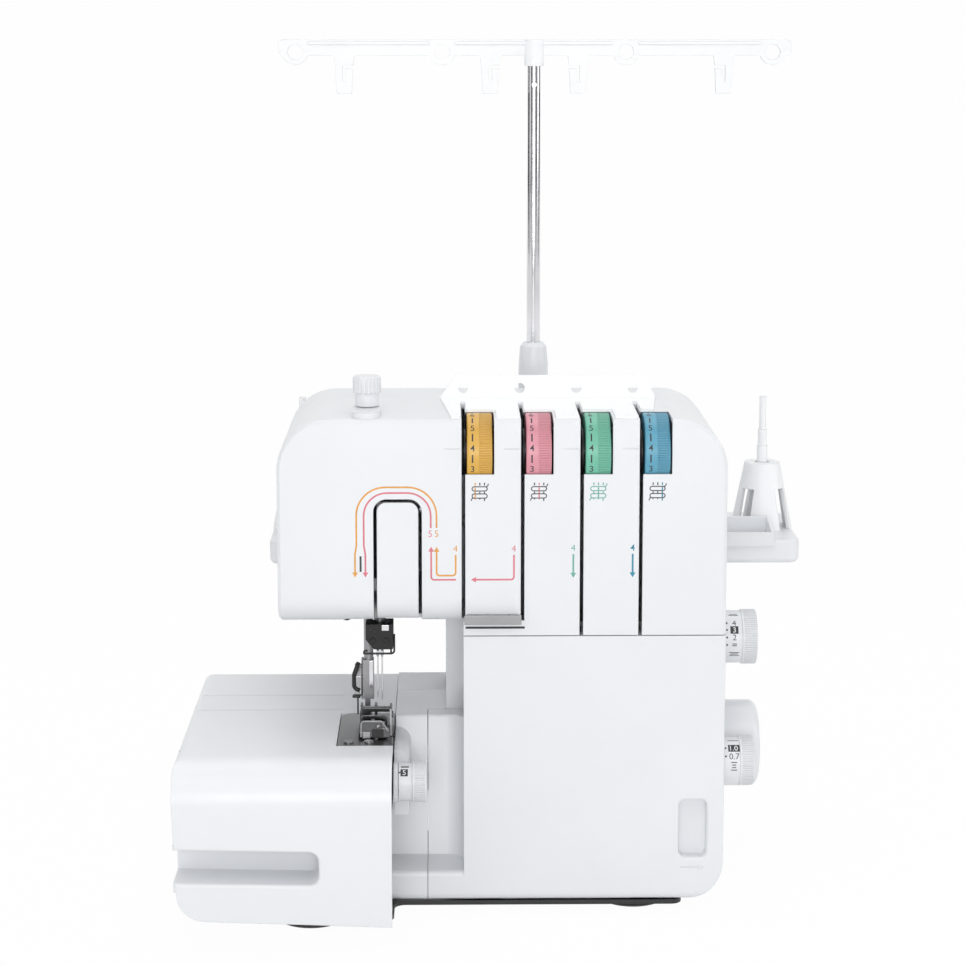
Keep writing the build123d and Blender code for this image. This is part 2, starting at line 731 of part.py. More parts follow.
with BuildPart() as feed_dogs:
    for i in range(3):
        dog_x = needle_x - 2 + dog_pitch * (i - 1)
        block(dog_x - dog_width / 2, dog_x + dog_width / 2, dog_y - dog_length / 2, dog_y + dog_length / 2,
              bed_top - 9, bed_top - 1.2)
        with Locations(*[(dog_x, dog_y + 1.65 * (k - 2.5), bed_top - 1.2) for k in range(6)]):
            Box(dog_width, 0.8, 1.4)
    block(needle_x - 9, needle_x + 5, dog_y - dog_length / 2, dog_y + dog_length / 2,
          bed_top - 13, bed_top - 9)
save(feed_dogs, "feed_dogs")


def looper(shaft_x, shaft_z, blade_path, blade_y, name):
    """Curved looper blade on a bent carrier, on a shaft along Y."""
    with BuildPart() as piece:
        rod_y(shaft_x, bracket_front - 6, bracket_back + 1.2, shaft_z, looper_shaft)
        rod_y(shaft_x, bracket_front - 6, bracket_front - 0.5, shaft_z, looper_shaft + 2.5)
        with BuildSketch(front_plane(bracket_front - 1)):
            with Locations((shaft_x, shaft_z), blade_path[0]):
                Circle(2.6)
            make_hull()
        extrude(amount=5)
        block(blade_path[0][0] - 2.2, blade_path[0][0] + 2.2, blade_y, bracket_front - 3,
              blade_path[0][1] - 2.2, blade_path[0][1] + 2.2)
        for start, end, start_radius, end_radius in (
            (blade_path[0], blade_path[1], 2.4, 1.8),
            (blade_path[1], blade_path[2], 1.8, 0.6),
        ):
            with BuildSketch(front_plane(blade_y + 1.4)):
                with Locations(start):
                    Circle(start_radius)
                with Locations(end):
                    Circle(end_radius)
                make_hull()
            extrude(amount=1.4)
    save(piece, name)
    return piece


lower_path = [(needle_x - 10.5, 74.0), (needle_x - 14.5, 81.0), (needle_x - 15.0, 90.0)]
upper_path = [(needle_x + 11.5, 84.0), (needle_x + 3.5, 88.0), (needle_x - 1.5, 93.0)]
lower_looper = looper(looper_low_x, looper_low_z, lower_path, needle_y + 2.2, "lower_looper")
upper_looper = looper(looper_high_x, looper_high_z, upper_path, plate_back - 1.9, "upper_looper")

# ================================================================== chute, looper cover and bed cover
chute_split = -43.6          # between the fixed side cover and the looper cover
chute_low = 24.0
chute_low_y = -55.0
chute_high_y = -41.0
chute_rim = 4.0              # depth of the rims where the two halves of the chute meet


def chute_outline(inset, floor, back):
    """Side outline of the chute: a low lip in front, then a slope up to the bed, down to the floor."""
    with BuildSketch() as outline:
        with BuildLine():
            Polyline(
                (body_front + inset, floor),
                (body_front + inset, chute_low - inset),
                (chute_low_y + inset, chute_low + 3 - inset),
                (chute_high_y + inset, bed_top - inset),
                (back, bed_top - inset),
                (back, floor),
                close=True,
            )
        make_face()
        slope = outline.vertices().sort_by(Axis.Y)
        if inset == 0:
            fillet(slope.filter_by(lambda v: abs(v.X - body_front) < 1 and v.Y > floor + 1), 3)
            fillet(outline.vertices().filter_by(lambda v: abs(v.X - chute_high_y) < 1), 2)
    return outline.sketch


def front_roll(x0, x1, inset):
    """Corner strip that rounds the lower front edge about the looper cover's hinge."""
    radius = cover_roll - inset
    with BuildPart() as strip:
        with BuildSketch(side_plane(x0)):
            with Locations((pivot_y - radius / 2, pivot_z - radius / 2 - 0.5)):
                Rectangle(radius, radius + 1)
            with Locations((pivot_y, pivot_z)):
                Circle(radius, mode=Mode.SUBTRACT)
        extrude(amount=x1 - x0)
    return strip.part


fixed_seam = 0.3             # line between covers that meet
side_left = bed_right + fixed_seam
tongue = 5.0                 # how far the side cover reaches under the bed cover
cloth_back = 13.0
pod_front = -88.6
pod_right = -53.3
width_dial_y = -100.0
width_dial_z = 82.5
width_dial_radius = 10.75
width_dial_right = -43.8
ear_right = side_left + 2.4
with BuildPart() as arm_side_cover:
    with BuildSketch(side_plane(side_left - tongue)):
        add(chute_outline(0, base_top, pillar_front - 1))
    extrude(amount=chute_split - side_left + tongue)
    add(front_roll(side_left - tongue, chute_split, 0), mode=Mode.SUBTRACT)
    with BuildSketch(side_plane(side_left - tongue - 1)):
        add(chute_outline(wall, base_top - 1, pillar_front))
    extrude(amount=chute_split - side_left - wall + tongue + 1, mode=Mode.SUBTRACT)
    # the tongue stays below the free arm
    block(side_left - tongue - 1, side_left, body_front - 1, pillar_front, arm_bottom - 1, bed_top + 1,
          mode=Mode.SUBTRACT)
    with BuildSketch(side_plane(side_left - 1)):
        add(chute_outline(chute_rim, base_top - 1, pillar_front))
    extrude(amount=chute_split - side_left + 2, mode=Mode.SUBTRACT)
    # cloth plate behind the chute, up to the pillar
    block(side_left, pillar_left - 0.3, pillar_front - 1, cloth_back, bed_top - wall, bed_top)
    block(side_left, pillar_left - 0.3, cloth_back - wall, cloth_back, root_top + 1, bed_top)
    block(pillar_left - 0.3 - wall, pillar_left, pillar_front + 1, cloth_back, root_top + 1, bed_top)
    # pod and ear that carry the stitch width dial
    with BuildSketch(front_plane(chute_high_y)) as pod:
        with Locations(((side_left + pod_right) / 2, (width_dial_z - 22 + width_dial_z + 14) / 2)):
            Rectangle(pod_right - side_left, 36)
        fillet(pod.vertices().sort_by(Axis.X)[-2:].sort_by(Axis.Y)[-1], 7)
    extrude(amount=chute_high_y - pod_front)
    block(side_left - 1, pod_right - wall, pod_front + wall, 0, root_bottom - 25, root_top - 4,
          mode=Mode.SUBTRACT)
    rod_x(side_left, ear_right, width_dial_y, width_dial_z, width_dial_radius)
    block(side_left, ear_right, width_dial_y, pod_front + 1, width_dial_z - 10, width_dial_z + 10)
    rod_x(side_left - 1, ear_right + 1, width_dial_y, width_dial_z, 4 + run_clear, mode=Mode.SUBTRACT)
save(arm_side_cover, "arm_side_cover")

wing_left = chute_split + fixed_seam
grip_left = 94.0
grip_right = 109.3
grip_low = 31.8
grip_high = 64.2
grip_depth = 7.0
cover_top = seam_height - seam
with BuildPart() as looper_cover:
    with BuildSketch(front_plane(bay_front - seam)) as cover_face:
        with BuildLine():
            Polyline(
                (panel_left, cover_floor),
                (body_right, cover_floor),
                (body_right, cover_top),
                (panel_left, cover_top),
                close=True,
            )
        make_face()
        fillet(cover_face.vertices().group_by(Axis.Y)[0].sort_by(Axis.X)[-1], cover_corner)
    extrude(amount=bay_front - seam - body_front)
    with BuildSketch(front_plane(bay_front)) as cover_hollow:
        with BuildLine():
            Polyline(
                (panel_left + wall, cover_floor + wall),
                (body_right - wall, cover_floor + wall),
                (body_right - wall, cover_top - wall),
                (panel_left + wall, cover_top - wall),
                close=True,
            )
        make_face()
        fillet(cover_hollow.vertices().group_by(Axis.Y)[0].sort_by(Axis.X)[-1], cover_corner - wall)
    extrude(amount=bay_front - body_front - wall, mode=Mode.SUBTRACT)
    # wing with the chute, and the web between the wing and the panel
    with BuildSketch(side_plane(wing_left)):
        add(chute_outline(0, cover_floor, pillar_front - 2))
    extrude(amount=panel_left - wing_left + 0.01)
    with BuildSketch(side_plane(wing_left + wall)):
        add(chute_outline(wall, cover_floor - 1, pillar_front))
    extrude(amount=panel_left - wing_left - wall, mode=Mode.SUBTRACT)
    with BuildSketch(side_plane(wing_left - 1)):
        add(chute_outline(chute_rim, cover_floor - 1, pillar_front))
    extrude(amount=panel_left - wing_left + 1, mode=Mode.SUBTRACT)
    with BuildSketch(side_plane(panel_left)):
        with BuildLine():
            Polyline(
                (body_front, cover_floor),
                (body_front, cover_top),
                (bay_front - seam, cover_top),
                (bay_front - seam, bed_top),
                (chute_high_y + wall, bed_top),
                (chute_low_y + wall, chute_low + 3),
                (chute_low_y + wall, cover_floor),
                close=True,
            )
        make_face()
    extrude(amount=wall)
    # hollow sweep from the chute into the panel's side
    sweep_edge = looper_cover.edges().filter_by(
        lambda e: abs(e.center().X - panel_left) < 0.1 and e.length > 60
        and chute_low_y - 1 < e.center().Y < chute_high_y + 1
        and abs((e @ 1).Y - (e @ 0).Y) > 5
    )
    fillet(sweep_edge.sort_by(Axis.Y)[0], 9)
    add(front_roll(wing_left, body_right, 0), mode=Mode.SUBTRACT)
    # its rear lower edge is rounded about the hinge too, and so swings clear of the column
    with BuildSketch(side_plane(panel_left + wall)):
        with Locations((pivot_y + cover_roll, pivot_z - cover_roll)):
            Rectangle(2 * cover_roll, 2 * cover_roll)
        with Locations((pivot_y, pivot_z)):
            Circle(cover_sweep + 0.5, mode=Mode.SUBTRACT)
    extrude(amount=body_right - panel_left, mode=Mode.SUBTRACT)
    # finger grip: a pocket let into the panel
    block(grip_left - 2, grip_right + 2, body_front + 0.5, body_front + grip_depth + 1.5,
          grip_low - 2, grip_high + 2)
    with BuildSketch(front_plane(body_front + grip_depth)) as grip:
        with Locations(((grip_left + grip_right) / 2, (grip_low + grip_high) / 2)):
            RectangleRounded(grip_right - grip_left, grip_high - grip_low, 3.5)
    extrude(amount=grip_depth + 1, mode=Mode.SUBTRACT)
    grip_rim = looper_cover.edges().filter_by(
        lambda e: abs(e.center().Y - body_front) < 0.05 and grip_left - 1 < e.center().X < grip_right + 1
        and grip_low - 1 < e.center().Z < grip_high + 1
    )
    fillet(grip_rim, 1.6)
    # hinge barrel between the lugs, and room for the lugs as the cover slides
    barrel_left = hinge_lugs[0] + lug_width + seam
    barrel_right = hinge_lugs[1] - cover_travel - seam
    rod_x(barrel_left, barrel_right, pivot_y, pivot_z, hinge_rod + 1.2)
    block(barrel_left, barrel_right, body_front + 1, pivot_y, pivot_z - 1.5, pivot_z + 1.5)
    rod_x(panel_left + wall + 1, body_right - wall - 8, pivot_y, pivot_z, hinge_rod + run_clear,
          mode=Mode.SUBTRACT)
    for lug_left in hinge_lugs:
        block(lug_left - cover_travel - seam, lug_left + lug_width + seam, body_front + wall,
              bay_front, cover_floor - 1, pivot_z + 4, mode=Mode.SUBTRACT)
save(looper_cover, "looper_cover")

with BuildPart() as cover_hinge_rod:
    rod_x(hinge_lugs[0] - 7, hinge_lugs[1] + lug_width + 2, pivot_y, pivot_z, hinge_rod)
save(cover_hinge_rod, "cover_hinge_rod")


def bed_core(inset, right):
    """Solid of the bed cover, its closed faces moved inwards by inset and its underside open."""
    with BuildPart() as core:
        with BuildSketch(front_plane(body_back - inset)) as face:
            with BuildLine():
                Polyline(
                    (left_end + bed_lean + inset, bed_foot_left if inset == 0 else 0),
                    (right, bed_foot_right if inset == 0 else 0),
                    (right, bed_top - inset),
                    (left_end + inset, bed_top - inset),
                    (left_end + inset, bed_lean_top),
                    close=True,
                )
            make_face()
            if inset == 0:
                low_left = face.vertices().sort_by(Axis.Y)[:2].sort_by(Axis.X)[0]
                fillet(low_left, bed_side_corner)
            high_left = face.vertices().group_by(Axis.Y)[-1].sort_by(Axis.X)[0]
            fillet(high_left, 5 - inset)
        extrude(amount=body_back - front_end - 2 * inset)
        with BuildSketch(side_plane(left_end - 1)) as section:
            with Locations(((front_end + body_back) / 2, bed_top / 2 - inset)):
                Rectangle(body_back - front_end - 2 * inset, bed_top)
            upper = section.vertices().group_by(Axis.Y)[-1].sort_by(Axis.X)
            fillet(upper[0], bed_corner - inset)
            fillet(upper[-1], 8 - inset)
        extrude(amount=overall_width, mode=Mode.INTERSECT)
    return core.part


pocket_right = -99.9
pocket_depth = 24.0
pocket_low = 39.0
pocket_high = 56.5
pocket_slope = 1.6           # the slot's edges rise towards the left like the cover's lower edge
groove_lines = [-30.5, 0.5]
with BuildPart() as bed_cover:
    add(bed_core(0, bed_right))
    add(bed_core(wall, bed_right + 1), mode=Mode.SUBTRACT)
    # hand slot let into the front, open through the left side
    block(left_end + 0.5, pocket_right + wall, front_end + 0.5, front_end + pocket_depth + wall,
          pocket_low - wall - 1, pocket_high + wall + 2)
    with BuildSketch(front_plane(front_end + pocket_depth)) as slot_face:
        with BuildLine():
            Polyline(
                (left_end - 1, pocket_low + pocket_slope),
                (pocket_right, pocket_low),
                (pocket_right, pocket_high),
                (left_end - 1, pocket_high + pocket_slope),
                close=True,
            )
        make_face()
        fillet(slot_face.vertices().group_by(Axis.X)[-1], 5)
    extrude(amount=pocket_depth + 1, mode=Mode.SUBTRACT)
    slot_rim = bed_cover.edges().filter_by(
        lambda e: abs(e.center().Y - front_end) < 0.05 and e.center().X < pocket_right + 1
        and pocket_low - 1 < e.center().Z < pocket_high + 3 and e.center().X > left_end + 5
    )
    fillet(slot_rim, 1.8)
    # place of the needle plate, and guides along the free arm
    block(plate_left - slide_clear, bed_right + 1, plate_front - slide_clear, plate_back + slide_clear,
          bed_top - wall - 1, bed_top + 1, mode=Mode.SUBTRACT)
    for guide_y in (arm_front - slide_clear - 1, arm_back + slide_clear + 1):
        block(left_end + 1, bed_right - 20, guide_y - 1, guide_y + 1, arm_top - 18, bed_top - 1)
    for groove_y in groove_lines:
        block(left_end - 1, plate_left, groove_y - 0.4, groove_y + 0.4, bed_top - 0.5, bed_top + 1,
              mode=Mode.SUBTRACT)
save(bed_cover, "bed_cover")

# ================================================================== needle bar, presser bar and lever
needle_travel = 26.0
needle_tip = 116.0
clamp_low = 146.0
clamp_high = 160.0
clamp_left = -77.1
clamp_right = -62.1
clamp_front = -63.5
clamp_back = -52.0
with BuildPart() as needle_bar:
    rod_z(needle_x, needle_bar_y, clamp_low + 1, lug_high + lug_thick + needle_travel + 3,
          needle_bar_radius)
    chamfer(needle_bar.edges().group_by(Axis.Z)[-1], 0.6)
    block(needle_x - 1.5, needle_x + 6.5, needle_bar_y - 4.6, needle_bar_y + 4.6,
          rocker_z + 8, rocker_z + 18)
save(needle_bar, "needle_bar")

with BuildPart() as needle_clamp:
    with BuildSketch(front_plane(clamp_back)) as clamp_face:
        with BuildLine():
            Polyline(
                (clamp_left, clamp_high),
                (clamp_left, clamp_high - 8.5),
                (clamp_left + 4.5, clamp_low),
                (clamp_right, clamp_low),
                (clamp_right, clamp_high),
                close=True,
            )
        make_face()
        fillet(clamp_face.vertices().group_by(Axis.Y)[0], 1)
    extrude(amount=clamp_back - clamp_front)
    block(needle_x - 3.2, clamp_right, clamp_back - 1, needle_bar_y + needle_bar_radius + 1,
          clamp_low, clamp_high)
    rod_z(needle_x, needle_bar_y, clamp_low + 1, clamp_high + 1, needle_bar_radius, mode=Mode.SUBTRACT)
    for side in (-1, 1):
        rod_z(needle_x + side * needle_pitch / 2, needle_y, clamp_low - 1, clamp_low + 7.5, 0.95,
              mode=Mode.SUBTRACT)
        # set screws of the needles, in the front
        rod_y(needle_x + side * 3.6, clamp_front - 0.9, clamp_front + 1, clamp_low + 5, 1.3)
    # wire guide under the clamp
    rod_z(clamp_right - 1.2, clamp_front + 1.6, clamp_low - 2.4, clamp_low + 1, 0.5)
    rod_x(clamp_left - 1.5, clamp_right - 0.7, clamp_front + 1.6, clamp_low - 2.6, 0.5)
save(needle_clamp, "needle_clamp")

with BuildPart() as needles:
    for side in (-1, 1):
        needle_place = needle_x + side * needle_pitch / 2
        with BuildSketch(front_plane(needle_y)) as needle_profile:
            with BuildLine():
                Polyline(
                    (needle_place, needle_tip - side * 0.8),
                    (needle_place + 0.45, needle_tip + 3.5 - side * 0.8),
                    (needle_place + 0.45, clamp_low - 5.5),
                    (needle_place + 0.95, clamp_low - 4),
                    (needle_place + 0.95, clamp_low + 7.5),
                    (needle_place, clamp_low + 7.5),
                    close=True,
                )
            make_face()
        revolve(axis=Axis((needle_place, needle_y, 0), (0, 0, 1)))
save(needles, "needles")

# lever that lifts and lowers the needle bar, with the two take-up arms on the same rocker shaft
lever_left = -57.0
lever_width = 5.5
lever_reach = needle_bar_y - rocker_y
lever_tilt = 20.0
with BuildPart() as needle_bar_lever:
    rod_x(lever_left - 2, frame_left + frame_left_thick + 3, rocker_y, rocker_z, rocker_radius)
    rod_x(lever_left, lever_left + lever_width, rocker_y, rocker_z, rocker_radius + 4)
    tip_y = rocker_y + lever_reach * cos(radians(lever_tilt))
    tip_z = rocker_z - lever_reach * sin(radians(lever_tilt))
    with BuildSketch(side_plane(lever_left)):
        with Locations((rocker_y, rocker_z)):
            Circle(rocker_radius + 2)
        with Locations((tip_y, tip_z)):
            Circle(3.6)
        make_hull()
    extrude(amount=lever_width)
save(needle_bar_lever, "needle_bar_lever")

take_reach = 47.0
with BuildPart() as take_up_levers:
    for number, arm_x in enumerate((lever_left + lever_width + 0.5, lever_left + lever_width + 4)):
        end_y = rocker_y - take_reach * cos(radians(12 + 7 * number))
        end_z = rocker_z + take_reach * sin(radians(12 + 7 * number))
        with BuildSketch(side_plane(arm_x)):
            with Locations((rocker_y, rocker_z)):
                Circle(rocker_radius + 2.5)
            with Locations((end_y, end_z)):
                Circle(2.6)
            make_hull()
            with Locations((end_y, end_z)):
                Circle(1.3, mode=Mode.SUBTRACT)
            with Locations((rocker_y, rocker_z)):
                Circle(rocker_radius, mode=Mode.SUBTRACT)
        extrude(amount=1.2)
save(take_up_levers, "take_up_levers")

# ------------------------------------------------------------------ presser
foot_sole = bed_top + 0.3
ankle_left = -80.0
ankle_right = -73.1
ankle_front = -51.6
ankle_low = 111.0
ankle_high = 137.0
lift_height = 6.0
collar_low = 194.0
foot_left = -80.4
foot_right = -64.9
foot_front = -90.0
foot_back = -47.4
foot_pin_y = -49.5
foot_pin_z = 109.5
with BuildPart() as presser_bar:
    rod_z(presser_x, presser_y, ankle_low + 10, 256, presser_radius)
    rod_z(presser_x, presser_y, collar_low, collar_low + 4, presser_radius + 1.6)
    # ankle: a flat shank with a fork for the foot's pin
    block(ankle_left, ankle_right, ankle_front, presser_y + 4, ankle_low + 4, ankle_high)
    vertical = presser_bar.edges().filter_by(Axis.Z).filter_by(lambda e: e.center().X < ankle_left + 0.1)
    fillet(vertical, 1)
    block(ankle_left + 2, ankle_right - 2, presser_y - 3, presser_y + 2, foot_pin_z - 2.6, ankle_low + 5)
    rod_x(ankle_left + 1, ankle_right - 1, foot_pin_y, foot_pin_z, 1.0)
    # release lever on the left of the ankle
    with BuildSketch(side_plane(ankle_left - 3.6)) as release:
        with BuildLine():
            Polyline(
                (presser_y - 1, ankle_high - 2),
                (presser_y - 4.5, ankle_high - 9),
                (presser_y - 5, ankle_high - 20),
                (presser_y + 1.5, ankle_high - 20),
                (presser_y + 2, ankle_high - 4),
                close=True,
            )
        make_face()
        fillet(release.vertices(), 1.2)
    extrude(amount=3.7)
save(presser_bar, "presser_bar")

with BuildPart() as presser_foot:
    with BuildSketch(level_plane(foot_sole)) as sole:
        with BuildLine():
            Polyline(
                (foot_left, foot_back),
                (foot_left, foot_front + 3),
                (foot_left + 3, foot_front),
                (foot_right - 1, foot_front),
                (foot_right, foot_front + 3),
                (foot_right, foot_back),
                close=True,
            )
        make_face()
    extrude(amount=2)
    toe = presser_foot.edges().filter_by(Axis.X).group_by(Axis.Z)[0].sort_by(Axis.Y)[0]
    chamfer(toe, 0.9)
    # needle slot with its stitch tongue, and the toe slit
    block(needle_x - 3.1, needle_x + 3.1, needle_y - 5, needle_y + 3, foot_sole - 1, foot_sole + 3,
          mode=Mode.SUBTRACT)
    block(needle_x - 2.3, needle_x - 0.7, foot_front - 1, foot_front + 19, foot_sole - 1, foot_sole + 3,
          mode=Mode.SUBTRACT)
    # side walls, and cheeks that hold the pin
    block(foot_left, foot_left + 1.2, foot_front + 12, foot_back, foot_sole, foot_sole + 4.5)
    block(foot_left, foot_left + 1.2, foot_pin_y - 4, foot_pin_y + 2, foot_sole, foot_pin_z + 2.5)
    block(ankle_right + 0.4, ankle_right + 1.8, foot_pin_y - 4, foot_pin_y + 2, foot_sole, foot_pin_z + 2.5)
    rod_x(foot_left - 1, ankle_right + 2, foot_pin_y, foot_pin_z, 1.0 + run_clear, mode=Mode.SUBTRACT)
    # arched guard across the front of the foot
    with BuildSketch(front_plane(foot_front + 10)) as guard:
        with Locations(((foot_left + foot_right) / 2 + 0.4, foot_sole + 5.2)):
            RectangleRounded(foot_right - foot_left - 0.8, 10.4, 2.4)
        with Locations(((foot_left + foot_right) / 2 + 0.4, foot_sole + 4.2)):
            RectangleRounded(foot_right - foot_left - 3.6, 9.0, 1.4, mode=Mode.SUBTRACT)
    extrude(amount=1.4)
    # tape guide screw on the guard
    rod_y(foot_right - 5, foot_front + 8, foot_front + 10.5, foot_sole + 9.2, 1.1)
save(presser_foot, "presser_foot")

with BuildPart() as presser_lifter:
    rod_y(lifter_x, presser_y + 1, lifter_y + 5, lifter_z, lifter_radius)
    block(lifter_x, presser_x - presser_radius - 1.4, presser_y + 1.5, presser_y + 5.5,
          lifter_z - 2, lifter_z + 2)
    with BuildSketch(front_plane(lifter_y + 5)) as handle:
        with Locations((lifter_x, lifter_z)):
            Circle(6)
        with Locations((lifter_x + 2, lifter_z - 44)):
            Circle(4.2)
        make_hull()
    extrude(amount=5)
save(presser_lifter, "presser_lifter")

knob_radius = 7.7
knob_top = 295.0
with BuildPart() as pressure_screw:
    rod_z(presser_x, screw_y, 265, 281, 4.6)
    rod_z(presser_x, screw_y, head_top + boss_height + 0.5, 287, 6.4)
    rod_z(presser_x, screw_y, 286, knob_top, knob_radius)
    chamfer(pressure_screw.edges().filter_by(GeomType.CIRCLE).group_by(Axis.Z)[-1], 1)
    with Locations((presser_x, screw_y, 0)):
        with PolarLocations(knob_radius, 20):
            Cylinder(0.5, 2 * knob_top, mode=Mode.SUBTRACT)
save(pressure_screw, "pressure_screw")

# ================================================================== thread path and tension
guide_bend = head_top + 1.4
guide_y = -4.5
guide_left = -36.3
guide_right = 84.9
guide_top = 289.0
with BuildPart() as top_thread_guide:
    with BuildSketch(front_plane(guide_y + 1)) as upright:
        with BuildLine():
            Polyline(
                (guide_left, head_top),
                (guide_left, guide_bend),
                (guide_left + 8.7, guide_top),
                (guide_right - 6, guide_top),
                (guide_right, guide_bend),
                (guide_right, head_top),
                close=True,
            )
        make_face()
        with Locations(*[(slot_x + 0.3, 281.8) for slot_x in slot_places]):
            Circle(2.95, mode=Mode.SUBTRACT)
    extrude(amount=2)
    with BuildSketch(level_plane(head_top)) as apron:
        with BuildLine():
            Polyline(
                (guide_left, guide_y + 1),
                (guide_right, guide_y + 1),
                (guide_right - 7, body_front + 3),
                (guide_left + 6, body_front + 3),
                close=True,
            )
        make_face()
        for slot_x in slot_places:
            with Locations((slot_x, (body_front + slot_back) / 2)):
                Rectangle(slot_width + 1, slot_back - body_front + 1, mode=Mode.SUBTRACT)
            with Locations((slot_x + window_width / 2 + 1, (body_front + window_back) / 2)):
                Rectangle(window_width + 2.6, window_back - body_front + 1.6, mode=Mode.SUBTRACT)
    extrude(amount=guide_bend - head_top)
save(top_thread_guide, "top_thread_guide")

plate_thin = 1.2
with BuildPart() as front_thread_guide:
    block(slot_places[0] + 0.3, slot_places[1] - 0.7, body_front - 4.5, body_front - 4.5 + plate_thin,
          head_bottom + 0.8, head_bottom + 5.8)
    block(slot_places[0] + 2, slot_places[1] - 2.5, body_front - 4.5, body_front,
          head_bottom + 4.6, head_bottom + 5.8)
    with Locations(*[(slot_places[0] + 7 + 17.5 * i, body_front - 2.6, head_bottom + 5) for i in range(2)]):
        Cylinder(0.9, 4, mode=Mode.SUBTRACT)
save(front_thread_guide, "front_thread_guide")

comb_top = 262.0
comb_low = 247.0
disc_radius = 12.0
with BuildPart() as tension_frame:
    block(frame_left - 30, slot_places[-1], beam_front - 3, beam_front, beam_top - 9, comb_top)
    for slot_x in slot_places:
        block(slot_x - 6, slot_x - 4, dial_y - 6, beam_front - 1, comb_low, comb_top)
        rod_x(slot_x - 5, slot_x - 1.4, dial_y, dial_z, stud_radius + 1.8)
        rod_x(slot_x - 5, slot_x + window_width, dial_y, dial_z, stud_radius)
save(tension_frame, "tension_frame")

with BuildPart() as tension_discs:
    for slot_x in slot_places:
        rod_x(slot_x - 1.4, slot_x - 0.3, dial_y, dial_z, disc_radius)
        rod_x(slot_x + 0.3, slot_x + 1.4, dial_y, dial_z, disc_radius)
        rod_x(slot_x - 2, slot_x + 2, dial_y, dial_z, stud_radius, mode=Mode.SUBTRACT)
save(tension_discs, "tension_discs")

spring_turns = 4
with BuildPart() as tension_springs:
    for slot_x in slot_places:
        for turn in range(spring_turns):
            turn_x = slot_x + 1.4 + 1.9 * turn
            rod_x(turn_x, turn_x + 1.0, dial_y, dial_z, stud_radius + 1.9)
        rod_x(slot_x + 1.4, slot_x + 1.4 + 1.9 * spring_turns - 0.9, dial_y, dial_z, stud_radius + 0.9)
        rod_x(slot_x + 1, slot_x + window_width, dial_y, dial_z, stud_radius + run_clear, mode=Mode.SUBTRACT)
save(tension_springs, "tension_springs")


ridge_pitch = 1.3            # fine ridges round the grip of every dial
ridge_groove = 0.5
ridge_depth = 0.35


def ridges(x0, x1, y, z, radius):
    """Cuts fine ridges into the rim of a dial between x0 and x1."""
    count = round(2 * pi * radius / ridge_pitch)
    with BuildSketch(side_plane(x0)) as grooves:
        with Locations((y, z)):
            with PolarLocations(radius, count):
                Rectangle(2 * ridge_depth, ridge_groove)
    extrude(grooves.sketch, amount=x1 - x0, mode=Mode.SUBTRACT)


dial_gap = 1.9               # from the middle of a thread slot to its dial
dial_band = 0.49             # share of a tension dial's width that carries the numbers


def tension_dial(slot_x):
    """Tension dial: a wheel with a smooth number band on the left and fine ridges on the right."""
    left = slot_x + dial_gap
    with BuildPart() as dial:
        rod_x(left, left + dial_width, dial_y, dial_z, dial_radius)
        fillet(dial.edges().filter_by(GeomType.CIRCLE), 1.0)
        ridges(left + dial_band * dial_width, left + dial_width + 1, dial_y, dial_z, dial_radius)
        rod_x(left - 1, left + 8, dial_y, dial_z, stud_radius + 3.4, mode=Mode.SUBTRACT)
        rod_x(left - 1, left + dial_width + 1, dial_y, dial_z, stud_radius + run_clear, mode=Mode.SUBTRACT)
    return dial


for number, slot_x in enumerate(slot_places):
    save(tension_dial(slot_x), f"tension_dial_{number + 1}")


def side_dial(y, z, radius, right, hub_right, shaft_left):
    """Dial on the right side: a smooth number band, then a ridged grip, on a shaft into the body."""
    with BuildPart() as dial:
        rod_x(body_right + loose_clear, hub_right, y, z, radius - 0.6)
        rod_x(hub_right, right, y, z, radius)
        outer = dial.edges().filter_by(GeomType.CIRCLE).group_by(Axis.X)[-1]
        fillet(outer, 1.0)
        ridges(hub_right + 1, right + 1, y, z, radius)
        rod_x(shaft_left, body_right + loose_clear + 1, y, z, 4.15)
    return dial


length_dial_radius = 15.35
length_dial_right = 141.4
feed_dial_radius = 13.5
feed_dial_right = 137.0
dial_shaft_left = 104.0
stitch_length_dial = side_dial(length_dial_y, length_dial_z, length_dial_radius, length_dial_right,
                               length_dial_right - 8.5, dial_shaft_left)
save(stitch_length_dial, "stitch_length_dial")
differential_dial = side_dial(feed_dial_y, feed_dial_z, feed_dial_radius, feed_dial_right,
                              feed_dial_right - 8.0, dial_shaft_left)
save(differential_dial, "differential_dial")

with BuildPart() as stitch_width_dial:
    rod_x(ear_right + 0.3, width_dial_right - 7.5, width_dial_y, width_dial_z, width_dial_radius - 0.7)
    rod_x(width_dial_right - 7.5, width_dial_right, width_dial_y, width_dial_z, width_dial_radius)
    fillet(stitch_width_dial.edges().filter_by(GeomType.CIRCLE).group_by(Axis.X)[-1], 1.0)
    ridges(width_dial_right - 6.5, width_dial_right + 1, width_dial_y, width_dial_z, width_dial_radius)
    rod_x(side_left + 0.2, ear_right + 1, width_dial_y, width_dial_z, 4)
save(stitch_width_dial, "stitch_width_dial")

